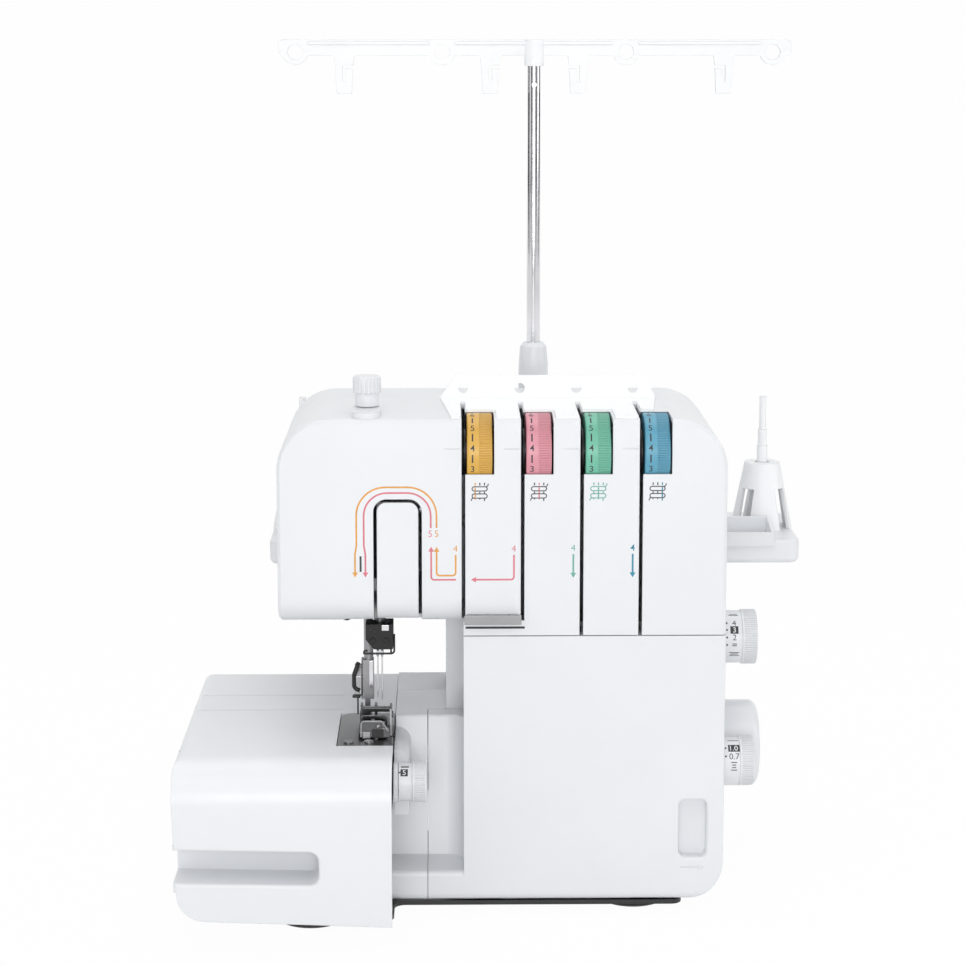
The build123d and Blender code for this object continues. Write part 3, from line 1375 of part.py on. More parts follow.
# wall behind the looper cover, with the threading eyelets of the loopers
bay_wall_y = -44.0
bay_wall_left = panel_left + wall + cover_travel + 1.0
with BuildPart() as looper_bay_wall:
    with BuildSketch(front_plane(bay_wall_y + wall)):
        add(column_outline(wall, bay_wall_left - wall, seam_height))
        # slots that the looper threads run down
        for slot_x in (slot_places[2], slot_places[3]):
            with Locations((slot_x, seam_height - 30)):
                Rectangle(slot_width, 62, mode=Mode.SUBTRACT)
    extrude(amount=wall)
    for eyelet_x, eyelet_z in (
        (slot_places[2], 88), (slot_places[3], 82), (slot_places[2] - 20, 62),
        (slot_places[3] - 26, 44), (slot_places[1] - 6, 34), (slot_places[1] + 6, 74),
    ):
        rod_y(eyelet_x, bay_wall_y - 7, bay_wall_y + 0.5, eyelet_z, 1.2)
        with BuildSketch(front_plane(bay_wall_y - 5)):
            with Locations((eyelet_x, eyelet_z)):
                Circle(3.2)
            with Locations((eyelet_x + 1.5, eyelet_z)):
                Circle(1.2, mode=Mode.SUBTRACT)
        extrude(amount=1.2)
save(looper_bay_wall, "looper_bay_wall")

# ================================================================== electrics
inlet_depth = 16.0
with BuildPart() as power_inlet:
    block(body_right - inlet_depth, body_right, inlet_y - 8.8, inlet_y + 8.8, inlet_z - 10.8, inlet_z + 10.8)
    with BuildSketch(side_plane(body_right)):
        with Locations((inlet_y, inlet_z)):
            RectangleRounded(22, 27, 3)
    extrude(amount=1.8)
    block(body_right - inlet_depth + 3, body_right + 2, inlet_y - 6.5, inlet_y + 6.5,
          inlet_z - 8.5, inlet_z + 8.5, mode=Mode.SUBTRACT)
    for pin_z in (inlet_z - 6, inlet_z, inlet_z + 6):
        rod_x(body_right - inlet_depth + 2, body_right - 3, inlet_y, pin_z, 1.1)
save(power_inlet, "power_inlet")

switch_x = body_right - 2.0
switch_half = 5.2
with BuildPart() as power_switch:
    with BuildSketch(front_plane(inlet_y + switch_half)) as rocker_shape:
        with BuildLine():
            Polyline(
                (switch_x - 6, switch_z - 4),
                (switch_x + 3.0, switch_z - 8),
                (switch_x + 4.0, switch_z),
                (switch_x + 6.0, switch_z + 7.6),
                (switch_x - 6, switch_z + 4),
                close=True,
            )
        make_face()
        fillet(rocker_shape.vertices(), 0.6)
        with Locations((switch_x, switch_z)):
            Circle(1.1, mode=Mode.SUBTRACT)
    extrude(amount=2 * switch_half)
save(power_switch, "power_switch")

lamp_x = -103.0
lamp_y = -32.0
with BuildPart() as work_light:
    with BuildSketch(level_plane(head_bottom - 1.4)):
        with Locations((lamp_x, lamp_y)):
            RectangleRounded(16, 11, 2.5)
    extrude(amount=1.4)
    chamfer(work_light.edges().group_by(Axis.Z)[0], 0.5)
save(work_light, "work_light")

screw_radius = 3.4
back_screws = [(-70.0, 205.0), (70.0, 240.0), (20.0, 100.0), (-12.0, 30.0)]
with BuildPart() as screws:
    for place_x, place_y in plate_screws:
        rod_z(place_x, place_y, bed_top - plate_thickness, bed_top, 1.7)
        rod_z(place_x, place_y, bed_top, bed_top + 0.9, screw_head)
        block(place_x - 1.9, place_x + 1.9, place_y - 0.3, place_y + 0.3, bed_top + 0.4, bed_top + 1,
              mode=Mode.SUBTRACT)
    for place_x, place_z in back_screws:
        rod_y(place_x, body_back, body_back + 1.4, place_z, screw_radius)
        block(place_x - 2.4, place_x + 2.4, body_back + 0.7, body_back + 2, place_z - 0.4, place_z + 0.4,
              mode=Mode.SUBTRACT)
        block(place_x - 0.4, place_x + 0.4, body_back + 0.7, body_back + 2, place_z - 2.4, place_z + 2.4,
              mode=Mode.SUBTRACT)
save(screws, "screws")

# ================================================================== spool stand and thread tree
tray_left = 121.5
tray_right = 160.5
tray_front = 46.0
tray_back = pole_y - cone_base - 3.0
tray_low = 179.3
tray_rim = 187.6
tray_rear_rim = 192.6
with BuildPart() as spool_stand:
    with BuildSketch(level_plane(stand_bottom)) as stand_plan:
        with Locations(((stand_left + right_end) / 2, (stand_front + back_end) / 2)):
            Rectangle(right_end - stand_left, back_end - stand_front)
        fillet(stand_plan.vertices(), 7)
    extrude(amount=stand_top - stand_bottom)
    fillet(spool_stand.faces().sort_by(Axis.Z)[0].edges(), 3)
    fillet(spool_stand.faces().sort_by(Axis.Z)[-1].edges(), 1)
    with BuildSketch(level_plane(stand_bottom - 1)) as stand_hollow:
        with Locations(((stand_left + right_end) / 2, (stand_front + back_end) / 2)):
            Rectangle(right_end - stand_left - 2 * stand_wall, back_end - stand_front - 2 * stand_wall)
        fillet(stand_hollow.vertices(), 5)
    extrude(amount=stand_top - stand_bottom + 1 - stand_wall, mode=Mode.SUBTRACT)
    # ribs under the top
    for rib_x in (pole_x - pin_outer, pole_x - pin_inner, pole_x, pole_x + pin_inner, pole_x + pin_outer - 6):
        block(rib_x - 1, rib_x + 1, stand_front + 1, back_end - 1, stand_bottom + 3, stand_top - 1)
    # bracket on the back of the body
    block(pole_x - 42, pole_x + 42, body_back, stand_front + 1, stand_bottom + 2, stand_top - 3)
    # open tray at the right, beside the body
    with BuildSketch(side_plane(tray_left)):
        with BuildLine():
            Polyline(
                (tray_front + 1.5, tray_low),
                (tray_back, tray_low),
                (tray_back, tray_rear_rim),
                (tray_front, tray_rim),
                close=True,
            )
        make_face()
    extrude(amount=tray_right - tray_left)
    with BuildSketch(side_plane(tray_left + 1.8)):
        with BuildLine():
            Polyline(
                (tray_front + 3.2, stand_top + 0.6),
                (tray_back - 1.8, stand_top + 0.6),
                (tray_back - 1.8, tray_rear_rim + 2),
                (tray_front + 1.8, tray_rim + 2),
                close=True,
            )
        make_face()
    extrude(amount=tray_right - tray_left - 3.6, mode=Mode.SUBTRACT)
save(spool_stand, "spool_stand")

pin_places = [pole_x - pin_outer, pole_x - pin_inner, pole_x + pin_inner, pole_x + pin_outer]
pin_steps = [(6.0, 184.0), (3.15, 232.0), (2.7, 242.0), (2.05, 262.0)]
with BuildPart() as spool_pins:
    for pin_x in pin_places:
        step_low = stand_top
        for step_radius, step_high in pin_steps:
            rod_z(pin_x, pole_y, step_low, step_high, step_radius)
            step_low = step_high
save(spool_pins, "spool_pins")

cone_ring = 10.5
cone_height = 39.7
cone_wall = 2.0
cone_window = 24.5
cone_lift = 84.0


def cone_adapter(x):
    """Hollow cone that centres a thread cone on its pin, with four windows open at the foot."""
    with BuildPart() as cone:
        with BuildSketch(front_plane(pole_y)):
            with BuildLine():
                Polyline(
                    (x + cone_base, stand_top),
                    (x + cone_ring, stand_top + cone_height),
                    (x + 4.4, stand_top + cone_height),
                    (x + 4.4, stand_top + cone_height - 4),
                    (x + cone_ring - cone_wall, stand_top + cone_height - 4),
                    (x + cone_base - cone_wall, stand_top),
                    close=True,
                )
            make_face()
        revolve(axis=Axis((x, pole_y, 0), (0, 0, 1)))
        for turn in (45, 135, 225, 315):
            with Locations((x + 14 * cos(radians(turn)), pole_y + 14 * sin(radians(turn)),
                            stand_top + cone_window / 2 - 0.5)):
                Box(26, 8.5, cone_window + 1, rotation=(0, 0, turn), mode=Mode.SUBTRACT)
    return cone


for number, pin_x in enumerate(pin_places):
    save(cone_adapter(pin_x), f"cone_adapter_{number + 1}")

socket_radius = 8.8
with BuildPart() as pole_socket:
    with BuildSketch(front_plane(pole_y)):
        with BuildLine():
            Polyline(
                (pole_x, stand_top),
                (pole_x + 16, stand_top),
                (pole_x + 16, stand_top + 3),
                (pole_x + 11, stand_top + 6),
                (pole_x + socket_radius + 0.8, stand_top + 12),
                (pole_x + socket_radius, socket_top - 14),
                (pole_x + socket_radius - 0.9, socket_top - 2.5),
                (pole_x + pole_radius + 1.6, socket_top),
                (pole_x, socket_top),
                close=True,
            )
        make_face()
    revolve(axis=Axis((pole_x, pole_y, 0), (0, 0, 1)))
    rod_z(pole_x, pole_y, stand_top + 4, socket_top + 1, pole_radius + run_clear, mode=Mode.SUBTRACT)
save(pole_socket, "pole_socket")

with BuildPart() as tree_pole:
    rod_z(pole_x, pole_y, socket_top - pole_engaged, bar_bottom + 4, pole_radius)
    chamfer(tree_pole.edges().filter_by(GeomType.CIRCLE), 0.5)
    rod_y(pole_x, pole_y - 5, pole_y - 2.5, pole_top - 12, 1.3, mode=Mode.SUBTRACT)
save(tree_pole, "tree_pole")

bar_left = -131.6
bar_right = 171.9
bar_thick = 3.0
eyelet_z = 468.2
eyelet_radius = 4.5
eyelet_boss = 7.6
hook_low = 443.8
hook_width = 12.5
hub_radius = 5.8
with BuildPart() as thread_guide_bar:
    with BuildSketch(front_plane(pole_y + bar_thick / 2)) as bar_face:
        with Locations(((bar_left + bar_right) / 2, (bar_bottom + bar_top) / 2)):
            Rectangle(bar_right - bar_left, bar_top - bar_bottom)
        fillet(bar_face.vertices(), 3)
        for reach in (-eyelet_outer, -eyelet_inner, eyelet_inner, eyelet_outer):
            with Locations((pole_x + reach, eyelet_z)):
                Circle(eyelet_boss)
        for reach in (-hook_outer, -hook_inner, hook_inner, hook_outer):
            inward = -1 if reach > 0 else 1
            hook_x = pole_x + reach
            with BuildLine():
                Polyline(
                    (hook_x - hook_width / 2, bar_bottom + 1),
                    (hook_x - hook_width / 2 + 1, bar_bottom - 7),
                    (hook_x - 4.5, hook_low),
                    (hook_x + 4.5, hook_low),
                    (hook_x + hook_width / 2 - 1, bar_bottom - 7),
                    (hook_x + hook_width / 2, bar_bottom + 1),
                    close=True,
                )
            make_face()
            # slit that enters from the side and turns down
            with Locations((hook_x + inward * 3.2, bar_bottom - 6.5)):
                Rectangle(6.8, 1.8, mode=Mode.SUBTRACT)
            with Locations((hook_x, bar_bottom - 10.5)):
                Rectangle(1.8, 9.8, mode=Mode.SUBTRACT)
        for reach in (-eyelet_outer, -eyelet_inner, eyelet_inner, eyelet_outer):
            with Locations((pole_x + reach, eyelet_z)):
                Circle(eyelet_radius, mode=Mode.SUBTRACT)
    extrude(amount=bar_thick)
    # stiffening rib along the top edge
    for rib_left, rib_right in (
        (pole_x - eyelet_outer + eyelet_boss, pole_x - eyelet_inner - eyelet_boss),
        (pole_x - eyelet_inner + eyelet_boss, pole_x + eyelet_inner - eyelet_boss),
        (pole_x + eyelet_inner + eyelet_boss, pole_x + eyelet_outer - eyelet_boss),
    ):
        block(rib_left, rib_right, pole_y - bar_thick / 2 - 0.9, pole_y + bar_thick / 2 + 0.9,
              bar_top - 3, bar_top - 1)
    rod_z(pole_x, pole_y, bar_bottom - 6, bar_top, hub_radius)
    rod_z(pole_x, pole_y, bar_bottom - 7, bar_bottom + 4.2, pole_radius + run_clear, mode=Mode.SUBTRACT)
save(thread_guide_bar, "thread_guide_bar")
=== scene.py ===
# %% [markdown]
# # An overlock sewing machine, dressed for its picture
# The solid parts of the machine come ready from a CAD model, each one already in its place.
# This lesson gives them their finishes: glossy and satin plastic, ground steel, chrome, cast
# metal and rubber. It then adds what is too thin or too small for CAD: the printing, the figures
# on the dials, and the small wires, screws and rims round the needles.
# The first step loads the parts. Each part's place is in its mesh, and its object stays at the
# origin, so later steps only ask where a part is and never have to type in a position twice.

import json
import math

import bmesh
import bpy
from mathutils import Matrix, Vector


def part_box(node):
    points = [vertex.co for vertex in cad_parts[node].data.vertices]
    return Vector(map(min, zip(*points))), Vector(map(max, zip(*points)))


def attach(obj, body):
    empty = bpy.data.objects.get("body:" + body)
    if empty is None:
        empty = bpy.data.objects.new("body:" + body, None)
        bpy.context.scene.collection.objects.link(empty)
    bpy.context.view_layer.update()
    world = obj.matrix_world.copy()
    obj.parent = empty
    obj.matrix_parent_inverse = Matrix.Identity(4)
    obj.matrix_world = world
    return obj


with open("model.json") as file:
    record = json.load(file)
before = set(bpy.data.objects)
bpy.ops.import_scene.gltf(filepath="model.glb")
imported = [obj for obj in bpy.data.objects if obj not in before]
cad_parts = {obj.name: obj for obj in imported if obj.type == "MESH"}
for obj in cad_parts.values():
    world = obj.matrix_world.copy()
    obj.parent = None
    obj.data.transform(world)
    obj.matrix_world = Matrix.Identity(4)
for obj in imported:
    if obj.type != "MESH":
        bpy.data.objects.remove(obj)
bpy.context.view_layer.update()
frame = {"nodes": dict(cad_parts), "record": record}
parts = frame["nodes"]
MM = 0.001

# %% [markdown]
# ## The camera
# A machine like this is shown nearly from the front, from a little above the top of the head, so
# that the flat fronts stay square and the top of the bed can be seen. A long lens keeps the sides
# parallel. The camera is aimed by turning its -Z axis along the line of sight, which is easier to
# read than three angles. Shifting the lens down a little takes the place of some of the tilt, and
# so the upright edges stay closer to upright.

# %% Set up the camera
camera_place = Vector((-32.0, -1391.5, 481.6)) * MM
turned_right = 0.0141  # radians, as is the tilt
tilted_down = 0.1423
camera_aim = Vector((math.sin(turned_right), 1.0, -math.tan(tilted_down)))

lens = bpy.data.cameras.new("camera")
lens.sensor_width = 36.0
lens.lens = 92.95
lens.shift_y = -0.1
lens.clip_start = 0.05
lens.clip_end = 30.0
camera = bpy.data.objects.new("camera", lens)
camera.location = camera_place
camera.rotation_euler = camera_aim.to_track_quat("-Z", "Y").to_euler()
bpy.context.scene.collection.objects.link(camera)
bpy.context.scene.camera = camera

# %% [markdown]
# ## A number that writes its own nodes
# A finish is a small calculation that is done at every point of a surface. In the node editor it
# takes one Math node for each sign, and a formula soon becomes hard to read. A class that wraps a
# socket and overloads the arithmetic signs lets the formula be written as a formula: `1 - mask`
# adds the node for it and returns its output.

# %% Wrap a socket so that arithmetic adds Math nodes
class Amount:
    """A number that varies over a surface."""

    def __init__(self, finish, socket):
        self.finish = finish
        self.socket = socket

    def math(self, operation, *others):
        sockets = dict(enumerate((self, *others)))
        made = self.finish.node("ShaderNodeMath", {"operation": operation}, sockets)
        return Amount(self.finish, made.outputs[0])

    def __add__(self, other):
        return self.math("ADD", other)

    def __sub__(self, other):
        return self.math("SUBTRACT", other)

    def __rsub__(self, other):
        return (self * -1.0) + other

    def __mul__(self, other):
        return self.math("MULTIPLY", other)

    __radd__ = __add__
    __rmul__ = __mul__

    def between(self, low, high):
        """0 at low and under, 1 at high and over."""
        sockets = {"Value": self, "From Min": low, "From Max": high}
        made = self.finish.node("ShaderNodeMapRange", {"clamp": True}, sockets)
        return Amount(self.finish, made.outputs[0])


# %% [markdown]
# ## A finish
# Each finish is one material with the Principled shader. A helper class holds its node tree. One
# method adds any node, and a few short ones name what this machine's finishes are made of: noise
# for unevenness, a colour that changes between two others, and a relief that tilts the light.
# All patterns read Object coordinates. They are in metres here, because every part sits at the
# origin unscaled, so a scale of 1000 gives a grain of about a millimetre on every part alike.

# %% Build a finish node by node
class Finish:
    """A material for one kind of surface on the machine."""

    def __init__(self, name, **values):
        self.material = bpy.data.materials.new(name)
        self.material.use_nodes = True
        self.tree = self.material.node_tree
        self.shader = self.tree.nodes["Principled BSDF"]
        for socket, value in values.items():
            self.set(socket.replace("_", " "), value)

    def node(self, kind, settings=None, sockets=None):
        made = self.tree.nodes.new(kind)
        for name, value in (settings or {}).items():
            setattr(made, name, value)
        for name, value in (sockets or {}).items():
            self.plug(made.inputs[name], value)
        return made

    def plug(self, socket, value):
        if isinstance(value, Amount):
            value = value.socket
        if isinstance(value, bpy.types.NodeSocket):
            self.tree.links.new(value, socket)
        else:
            socket.default_value = value

    def set(self, name, value):
        names = {i.name.lower(): i for i in self.shader.inputs}
        self.plug(names[name.lower()], value)

    def point(self, stretch=(1.0, 1.0, 1.0)):
        here = self.node("ShaderNodeTexCoord").outputs["Object"]
        return self.node("ShaderNodeMapping", {}, {"Vector": here, "Scale": stretch}).outputs[0]

    def noise(self, scale, detail=2.0, stretch=(1.0, 1.0, 1.0)):
        sockets = {"Vector": self.point(stretch), "Scale": scale, "Detail": detail}
        return Amount(self, self.node("ShaderNodeTexNoise", {}, sockets).outputs[0])

    def blend(self, mask, first, second):
        made = self.node("ShaderNodeMix", {"data_type": "RGBA"})
        self.plug(made.inputs[0], mask)
        self.plug(made.inputs[6], first)
        self.plug(made.inputs[7], second)
        return made.outputs[2]

    def relief(self, height, depth, round_edges=0.0):
        sockets = {"Height": height, "Distance": depth, "Strength": 1.0}
        if round_edges:
            edge = self.node("ShaderNodeBevel", {"samples": 6}, {"Radius": round_edges})
            sockets["Normal"] = edge.outputs[0]
        self.set("normal", self.node("ShaderNodeBump", {}, sockets).outputs[0])


def shade(colour, factor):
    """The same colour, lighter or darker."""
    return (*[min(1.0, channel * factor) for channel in colour[:3]], 1.0)


# %% [markdown]
# ## Moulded plastic
# The covers are injection moulded. Up close such a surface isn't a mirror: the steel mould leaves
# a very shallow ripple, the gloss changes a little from place to place, and the sharp corners of
# the drawing are really rounded by some tenths of a millimetre, which is what makes thin bright
# lines along the edges. Noise gives the first two. The Bevel node gives the third, because it
# only bends the light and leaves the shape alone.

# %% Finish for moulded plastic
def moulded(name, colour, roughness, ripple=0.00002):
    finish = Finish(name)
    cloud = finish.noise(9.0, 3.0)
    handling = finish.noise(60.0, 4.0).between(0.45, 0.75)
    grain = finish.noise(1400.0, 2.0)
    wave = finish.noise(120.0, 1.0)
    uneven = finish.blend(cloud.between(0.3, 0.7), shade(colour, 0.975), shade(colour, 1.01))
    finish.set("base color", finish.blend(handling * 0.25, uneven, shade(colour, 0.96)))
    finish.set("roughness", cloud * 0.06 + handling * 0.05 + (roughness - 0.05))
    finish.relief(grain * 0.3 + wave, ripple, 0.0006)
    return finish.material


cover_white = (0.80, 0.815, 0.84, 1.0)
finishes = {
    "white_plastic": moulded("cover_white", cover_white, 0.34),
    "white_matte": moulded("satin_white", (0.90, 0.91, 0.925, 1.0), 0.50, 0.00003),
    "black_plastic": moulded("black_plastic", (0.016, 0.016, 0.018, 1.0), 0.38),
    "dial_yellow": moulded("dial_amber", (0.72, 0.42, 0.075, 1.0), 0.36),
    "dial_pink": moulded("dial_rose", (0.72, 0.30, 0.36, 1.0), 0.36),
    "dial_green": moulded("dial_green", (0.16, 0.50, 0.36, 1.0), 0.36),
    "dial_blue": moulded("dial_blue", (0.11, 0.36, 0.50, 1.0), 0.36),
}
print("plastic finishes:", sorted(finishes))

# %% [markdown]
# ## Metal
# Four kinds of metal are used. The pole, the needles and the loopers are chrome, which is nearly
# a mirror. The needle plate, the foot and the other steel parts are ground, so their roughness and
# relief are noise drawn out into long scratches. The frame is cast, with a coarse round grain and
# no direction, and the shaft bushes are sintered bronze, with a fine one. One function covers them
# all, with the stretch of the scratches as its argument.

# %% Finishes for metal
def metal(name, colour, roughness, scale, scratches=(1.0, 1.0, 1.0), depth=0.00001):
    finish = Finish(name, metallic=1.0)
    line = finish.noise(scale, 3.0, scratches)
    smear = finish.noise(35.0, 3.0)
    worn = finish.blend(smear.between(0.35, 0.7), shade(colour, 0.88), shade(colour, 1.05))
    finish.set("base color", worn)
    finish.set("roughness", line * 0.12 + smear * 0.10 + (roughness - 0.11))
    finish.relief(line, depth, 0.0003)
    return finish.material


along_x, along_y, in_layers = (1.0, 14.0, 14.0), (16.0, 1.0, 16.0), (1.0, 1.0, 10.0)
metals = {
    "chrome": metal("chrome", (0.80, 0.80, 0.82, 1.0), 0.12, 90.0, depth=0.000002),
    "steel": metal("ground_steel", (0.36, 0.36, 0.37, 1.0), 0.34, 500.0, along_x),
    "foot_steel": metal("foot_steel", (0.13, 0.13, 0.135, 1.0), 0.30, 400.0, in_layers),
    "cast_frame": metal("cast_frame", (0.60, 0.61, 0.63, 1.0), 0.55, 420.0, depth=0.00008),
    "bronze": metal("sintered_bronze", (0.42, 0.28, 0.13, 1.0), 0.50, 1500.0, depth=0.00003),
}
finishes.update(metals)
plate_steel = metal("plate_steel", (0.24, 0.24, 0.245, 1.0), 0.32, 450.0, along_y)
print("metal finishes:", len(metals) + 1)

# %% [markdown]
# ## Paint, rubber, and the two pieces that let light through
# The base plate and the motor are painted: paint has a fine orange peel and wears to a duller
# grey. Rubber feet are dull, with dust in the pores. The guide plate on top and the lamp window
# are thin and milky. Light that scatters inside them is what makes them look soft, so both get a
# little transmission and a half gloss, and a faint painted glow stands in for that scattered light.

# %% Finishes for paint, rubber and milky plastic
def painted(name, colour, roughness):
    finish = Finish(name)
    peel = finish.noise(800.0, 2.0)
    worn = finish.noise(90.0, 5.0).between(0.55, 0.8)
    finish.set("base color", finish.blend(worn * 0.4, colour, shade(colour, 1.9)))
    finish.set("roughness", worn * 0.2 + roughness)
    finish.relief(peel, 0.00004, 0.0004)
    return finish.material


def rubber(name, colour):
    finish = Finish(name)
    pores = finish.noise(1100.0, 3.0)
    dust = finish.noise(70.0, 4.0).between(0.5, 0.8)
    finish.set("base color", finish.blend(dust * 0.35, colour, (0.10, 0.098, 0.095, 1.0)))
    finish.set("roughness", dust * 0.12 + 0.68)
    finish.relief(pores, 0.00008, 0.0005)
    return finish.material


def milky(name, colour, clear, painted_glow):
    finish = Finish(name, roughness=0.30, transmission_weight=clear, ior=1.45)
    cloud = finish.noise(40.0, 3.0)
    finish.set("base color", finish.blend(cloud, shade(colour, 0.97), colour))
    # The faint emission is a painted glow that stands in for light scattered inside the plastic.
    finish.set("emission color", colour)
    finish.set("emission strength", painted_glow)
    finish.relief(finish.noise(300.0), 0.00002, 0.0004)
    return finish.material


finishes["dark_steel"] = painted("black_paint", (0.018, 0.018, 0.019, 1.0), 0.42)
finishes["motor_steel"] = painted("grey_paint", (0.10, 0.105, 0.11, 1.0), 0.40)
finishes["rubber"] = rubber("black_rubber", (0.022, 0.021, 0.020, 1.0))
finishes["clear_white"] = milky("milky_guide", (0.93, 0.94, 0.95, 1.0), 0.12, 0.10)
finishes["lamp"] = milky("lamp_window", (0.95, 0.94, 0.86, 1.0), 0.2, 0.25)
print("all finishes:", len(finishes))

# %% [markdown]
# ## Put the finishes on
# The record of the model names a material slot for every part, so most parts get their finish
# from that table. The parts come in with one material each, and swapping it leaves the mesh as
# it is.

# %% Give every part its finish
special = {
    "needle_plate": plate_steel,
    "upper_knife": finishes["foot_steel"],
    "needle_clamp": painted("clamp_black", (0.007, 0.007, 0.008, 1.0), 0.55),
}
for subpart in frame["record"]["subparts"]:
    part = parts[subpart["node"]]
    chosen = special.get(part.name, finishes[subpart["material_slot"]])
    part.data.materials.clear()
    part.data.materials.append(chosen)
print("finished parts:", len(parts))

# %% [markdown]
# ## Printed lines, drawn by a turtle
# The front of the machine is printed with coloured lines that show where each thread runs. Ink
# has almost no height, so each line is a flat strip a few hundredths of a millimetre proud of the
# plastic. A strip is easiest to draw the way a turtle walks. A short edge, as wide as the line,
# is pushed forwards for a straight run and swung about a centre for a bend, and it leaves faces
# behind it. All the lines of one ink share one mesh.

# %% Draw strips with extrude and spin
def bearing(angle):
    """Unit step in the X, Z plane, with 0 to the right and 90 upwards."""
    return Vector((math.cos(math.radians(angle)), 0.0, math.sin(math.radians(angle))))


class Strip:
    """A line that is walked over an upright plane, in millimetres."""

    def __init__(self, bm, start, heading, width=0.8, y=-76.5):
        self.bm = bm
        self.place = Vector((start[0], y, start[1]))
        self.heading = heading
        across = bearing(heading + 90) * width / 2
        ends = [bm.verts.new((self.place + side * across) * MM) for side in (-1, 1)]
        self.edge = bm.edges.new(ends)

    def run(self, length, widen=1.0):
        grown = bmesh.ops.extrude_edge_only(self.bm, edges=[self.edge])["geom"]
        ends = [part for part in grown if isinstance(part, bmesh.types.BMVert)]
        step = bearing(self.heading) * length
        self.place += step
        bmesh.ops.translate(self.bm, verts=ends, vec=step * MM)
        about = Matrix.Translation(self.place * -MM)
        bmesh.ops.scale(self.bm, verts=ends, vec=(widen, widen, widen), space=about)
        self.edge = next(e for e in ends[0].link_edges if e.other_vert(ends[0]) is ends[1])
        return self

    def bend(self, angle, radius):
        """Swing to the left for a positive angle and to the right for a negative one."""
        side = math.copysign(90, angle)
        centre = self.place + bearing(self.heading + side) * radius
        steps = max(3, round(abs(angle) / 9))
        swung = bmesh.ops.spin(self.bm, geom=[self.edge, *self.edge.verts], cent=centre * MM,
                               axis=(0.0, -1.0, 0.0), dvec=(0.0, 0.0, 0.0),
                               angle=math.radians(angle), steps=steps)
        self.edge = next(part for part in swung["geom_last"] if isinstance(part, bmesh.types.BMEdge))
        self.heading += angle
        self.place = centre + bearing(self.heading - side) * radius
        return self

    def arrow(self, length=2.6, widen=3.2):
        """Widen at once for the barbs, then narrow to a point."""
        return self.run(0.01, widen).run(length, 0.06)


def raised(bm, proud=0.03, sunk=0.03):
    """Give flat faces in an upright plane a thickness, part of it sunk in the surface."""
    bmesh.ops.remove_doubles(bm, verts=bm.verts, dist=0.0000005)
    grown = bmesh.ops.extrude_face_region(bm, geom=bm.faces[:])["geom"]
    front = [part for part in grown if isinstance(part, bmesh.types.BMVert)]
    bmesh.ops.translate(bm, verts=bm.verts, vec=(0.0, sunk * MM, 0.0))
    bmesh.ops.translate(bm, verts=front, vec=(0.0, -(sunk + proud) * MM, 0.0))
    bmesh.ops.recalc_face_normals(bm, faces=bm.faces)


def piece(name, bm, finish, body="machine", smooth=False):
    """Turn a finished bmesh into an object that rides on a body of the machine."""
    mesh = bpy.data.meshes.new(name)
    bm.to_mesh(mesh)
    bm.free()
    made = bpy.data.objects.new(name, mesh)
    made.data.materials.append(finish)
    for face in mesh.polygons:
        face.use_smooth = smooth
    bpy.context.scene.collection.objects.link(made)
    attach(made, body)


# %% [markdown]
# ## Ink
# Screen printing ink isn't quite even. It is a little thinner where the squeegee lifts, and the
# plastic shows through it in tiny pinholes. Noise on the colour and the roughness gives that, and
# one function serves all the inks.

# %% Inks
def ink(name, colour):
    finish = Finish(name)
    patchy = finish.noise(350.0, 3.0)
    pinholes = finish.noise(2600.0, 1.0).between(0.70, 0.78)
    thin = finish.blend(patchy.between(0.35, 0.7), shade(colour, 0.92), shade(colour, 1.06))
    finish.set("base color", finish.blend(pinholes * 0.35, thin, (0.7, 0.7, 0.7, 1.0)))
    finish.set("roughness", patchy * 0.1 + 0.38)
    finish.relief(patchy, 0.000008)
    return finish.material


inks = {
    "orange": ink("orange_ink", (0.76, 0.36, 0.06, 1.0)),
    "pink": ink("pink_ink", (0.70, 0.19, 0.24, 1.0)),
    "green": ink("green_ink", (0.16, 0.42, 0.37, 1.0)),
    "blue": ink("blue_ink", (0.03, 0.25, 0.38, 1.0)),
    "dark": ink("dark_ink", (0.035, 0.037, 0.042, 1.0)),
}
print("inks:", sorted(inks))

# %% [markdown]
# ## The thread lines on the front
# Orange and pink threads go up over the take-up window and down to the needles. They share the
# shape of the window, so each is one walk: up the right side from the step number 5, over two
# bends, and down the left side to an arrow. Below the number, the lines of step 4 lead from the
# thread slots to arrows that point up. Green and blue only have an arrow that points down.

# %% Lines of the four threads
front_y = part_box("head_front_panel")[0].y / MM
drawings = {name: bmesh.new() for name in inks}


def line(colour, start, heading, width=0.95):
    return Strip(drawings[colour], start, heading, width, front_y)


starts_at, jogs_at, corner = 216.1, 206.8, 1.7
for colour, left, right, top, radius, jog in (
    ("orange", -81.3, -38.2, 238.4, 15.5, 1), ("pink", -77.3, -41.3, 235.3, 12.5, -1),
):
    over = line(colour, (right, starts_at), 90).run(top - radius - starts_at).bend(90, radius)
    over.run(right - left - 2 * radius).bend(90, radius).run(top - radius - jogs_at)
    over.bend(-9 * jog, 3).run(4.6).bend(9 * jog, 3).run(9.5).arrow()
hook = line("orange", (-27.9, 201.3), -90).run(9.6).bend(-90, corner).run(6.9)
hook.bend(-90, corner).run(11.4).arrow()
line("pink", (-27.8, 187.7), 180).run(11.6).bend(-90, corner).run(13.8).arrow()
line("pink", (3.5, 201.3), -90).run(11.9).bend(-90, corner).run(18.7).arrow()
line("green", (35.5, 201.7), -90).run(10.4).arrow()
line("blue", (67.5, 201.7), -90, 1.0).run(10.2).arrow()
line("dark", (-79.1, 200.8), -90, 1.1).run(8.6)
print("strips so far:", sum(len(bm.faces) for bm in drawings.values()), "faces")

# %% [markdown]
# Under each dial a small drawing of the stitch shows, in colour, which thread the dial is for.
# The net of the stitch is two long rounded loops with tails, crossed by three uprights. An
# upright passes under the loops, so it is drawn as short dashes between and inside them. The
# third drawing is green all over.

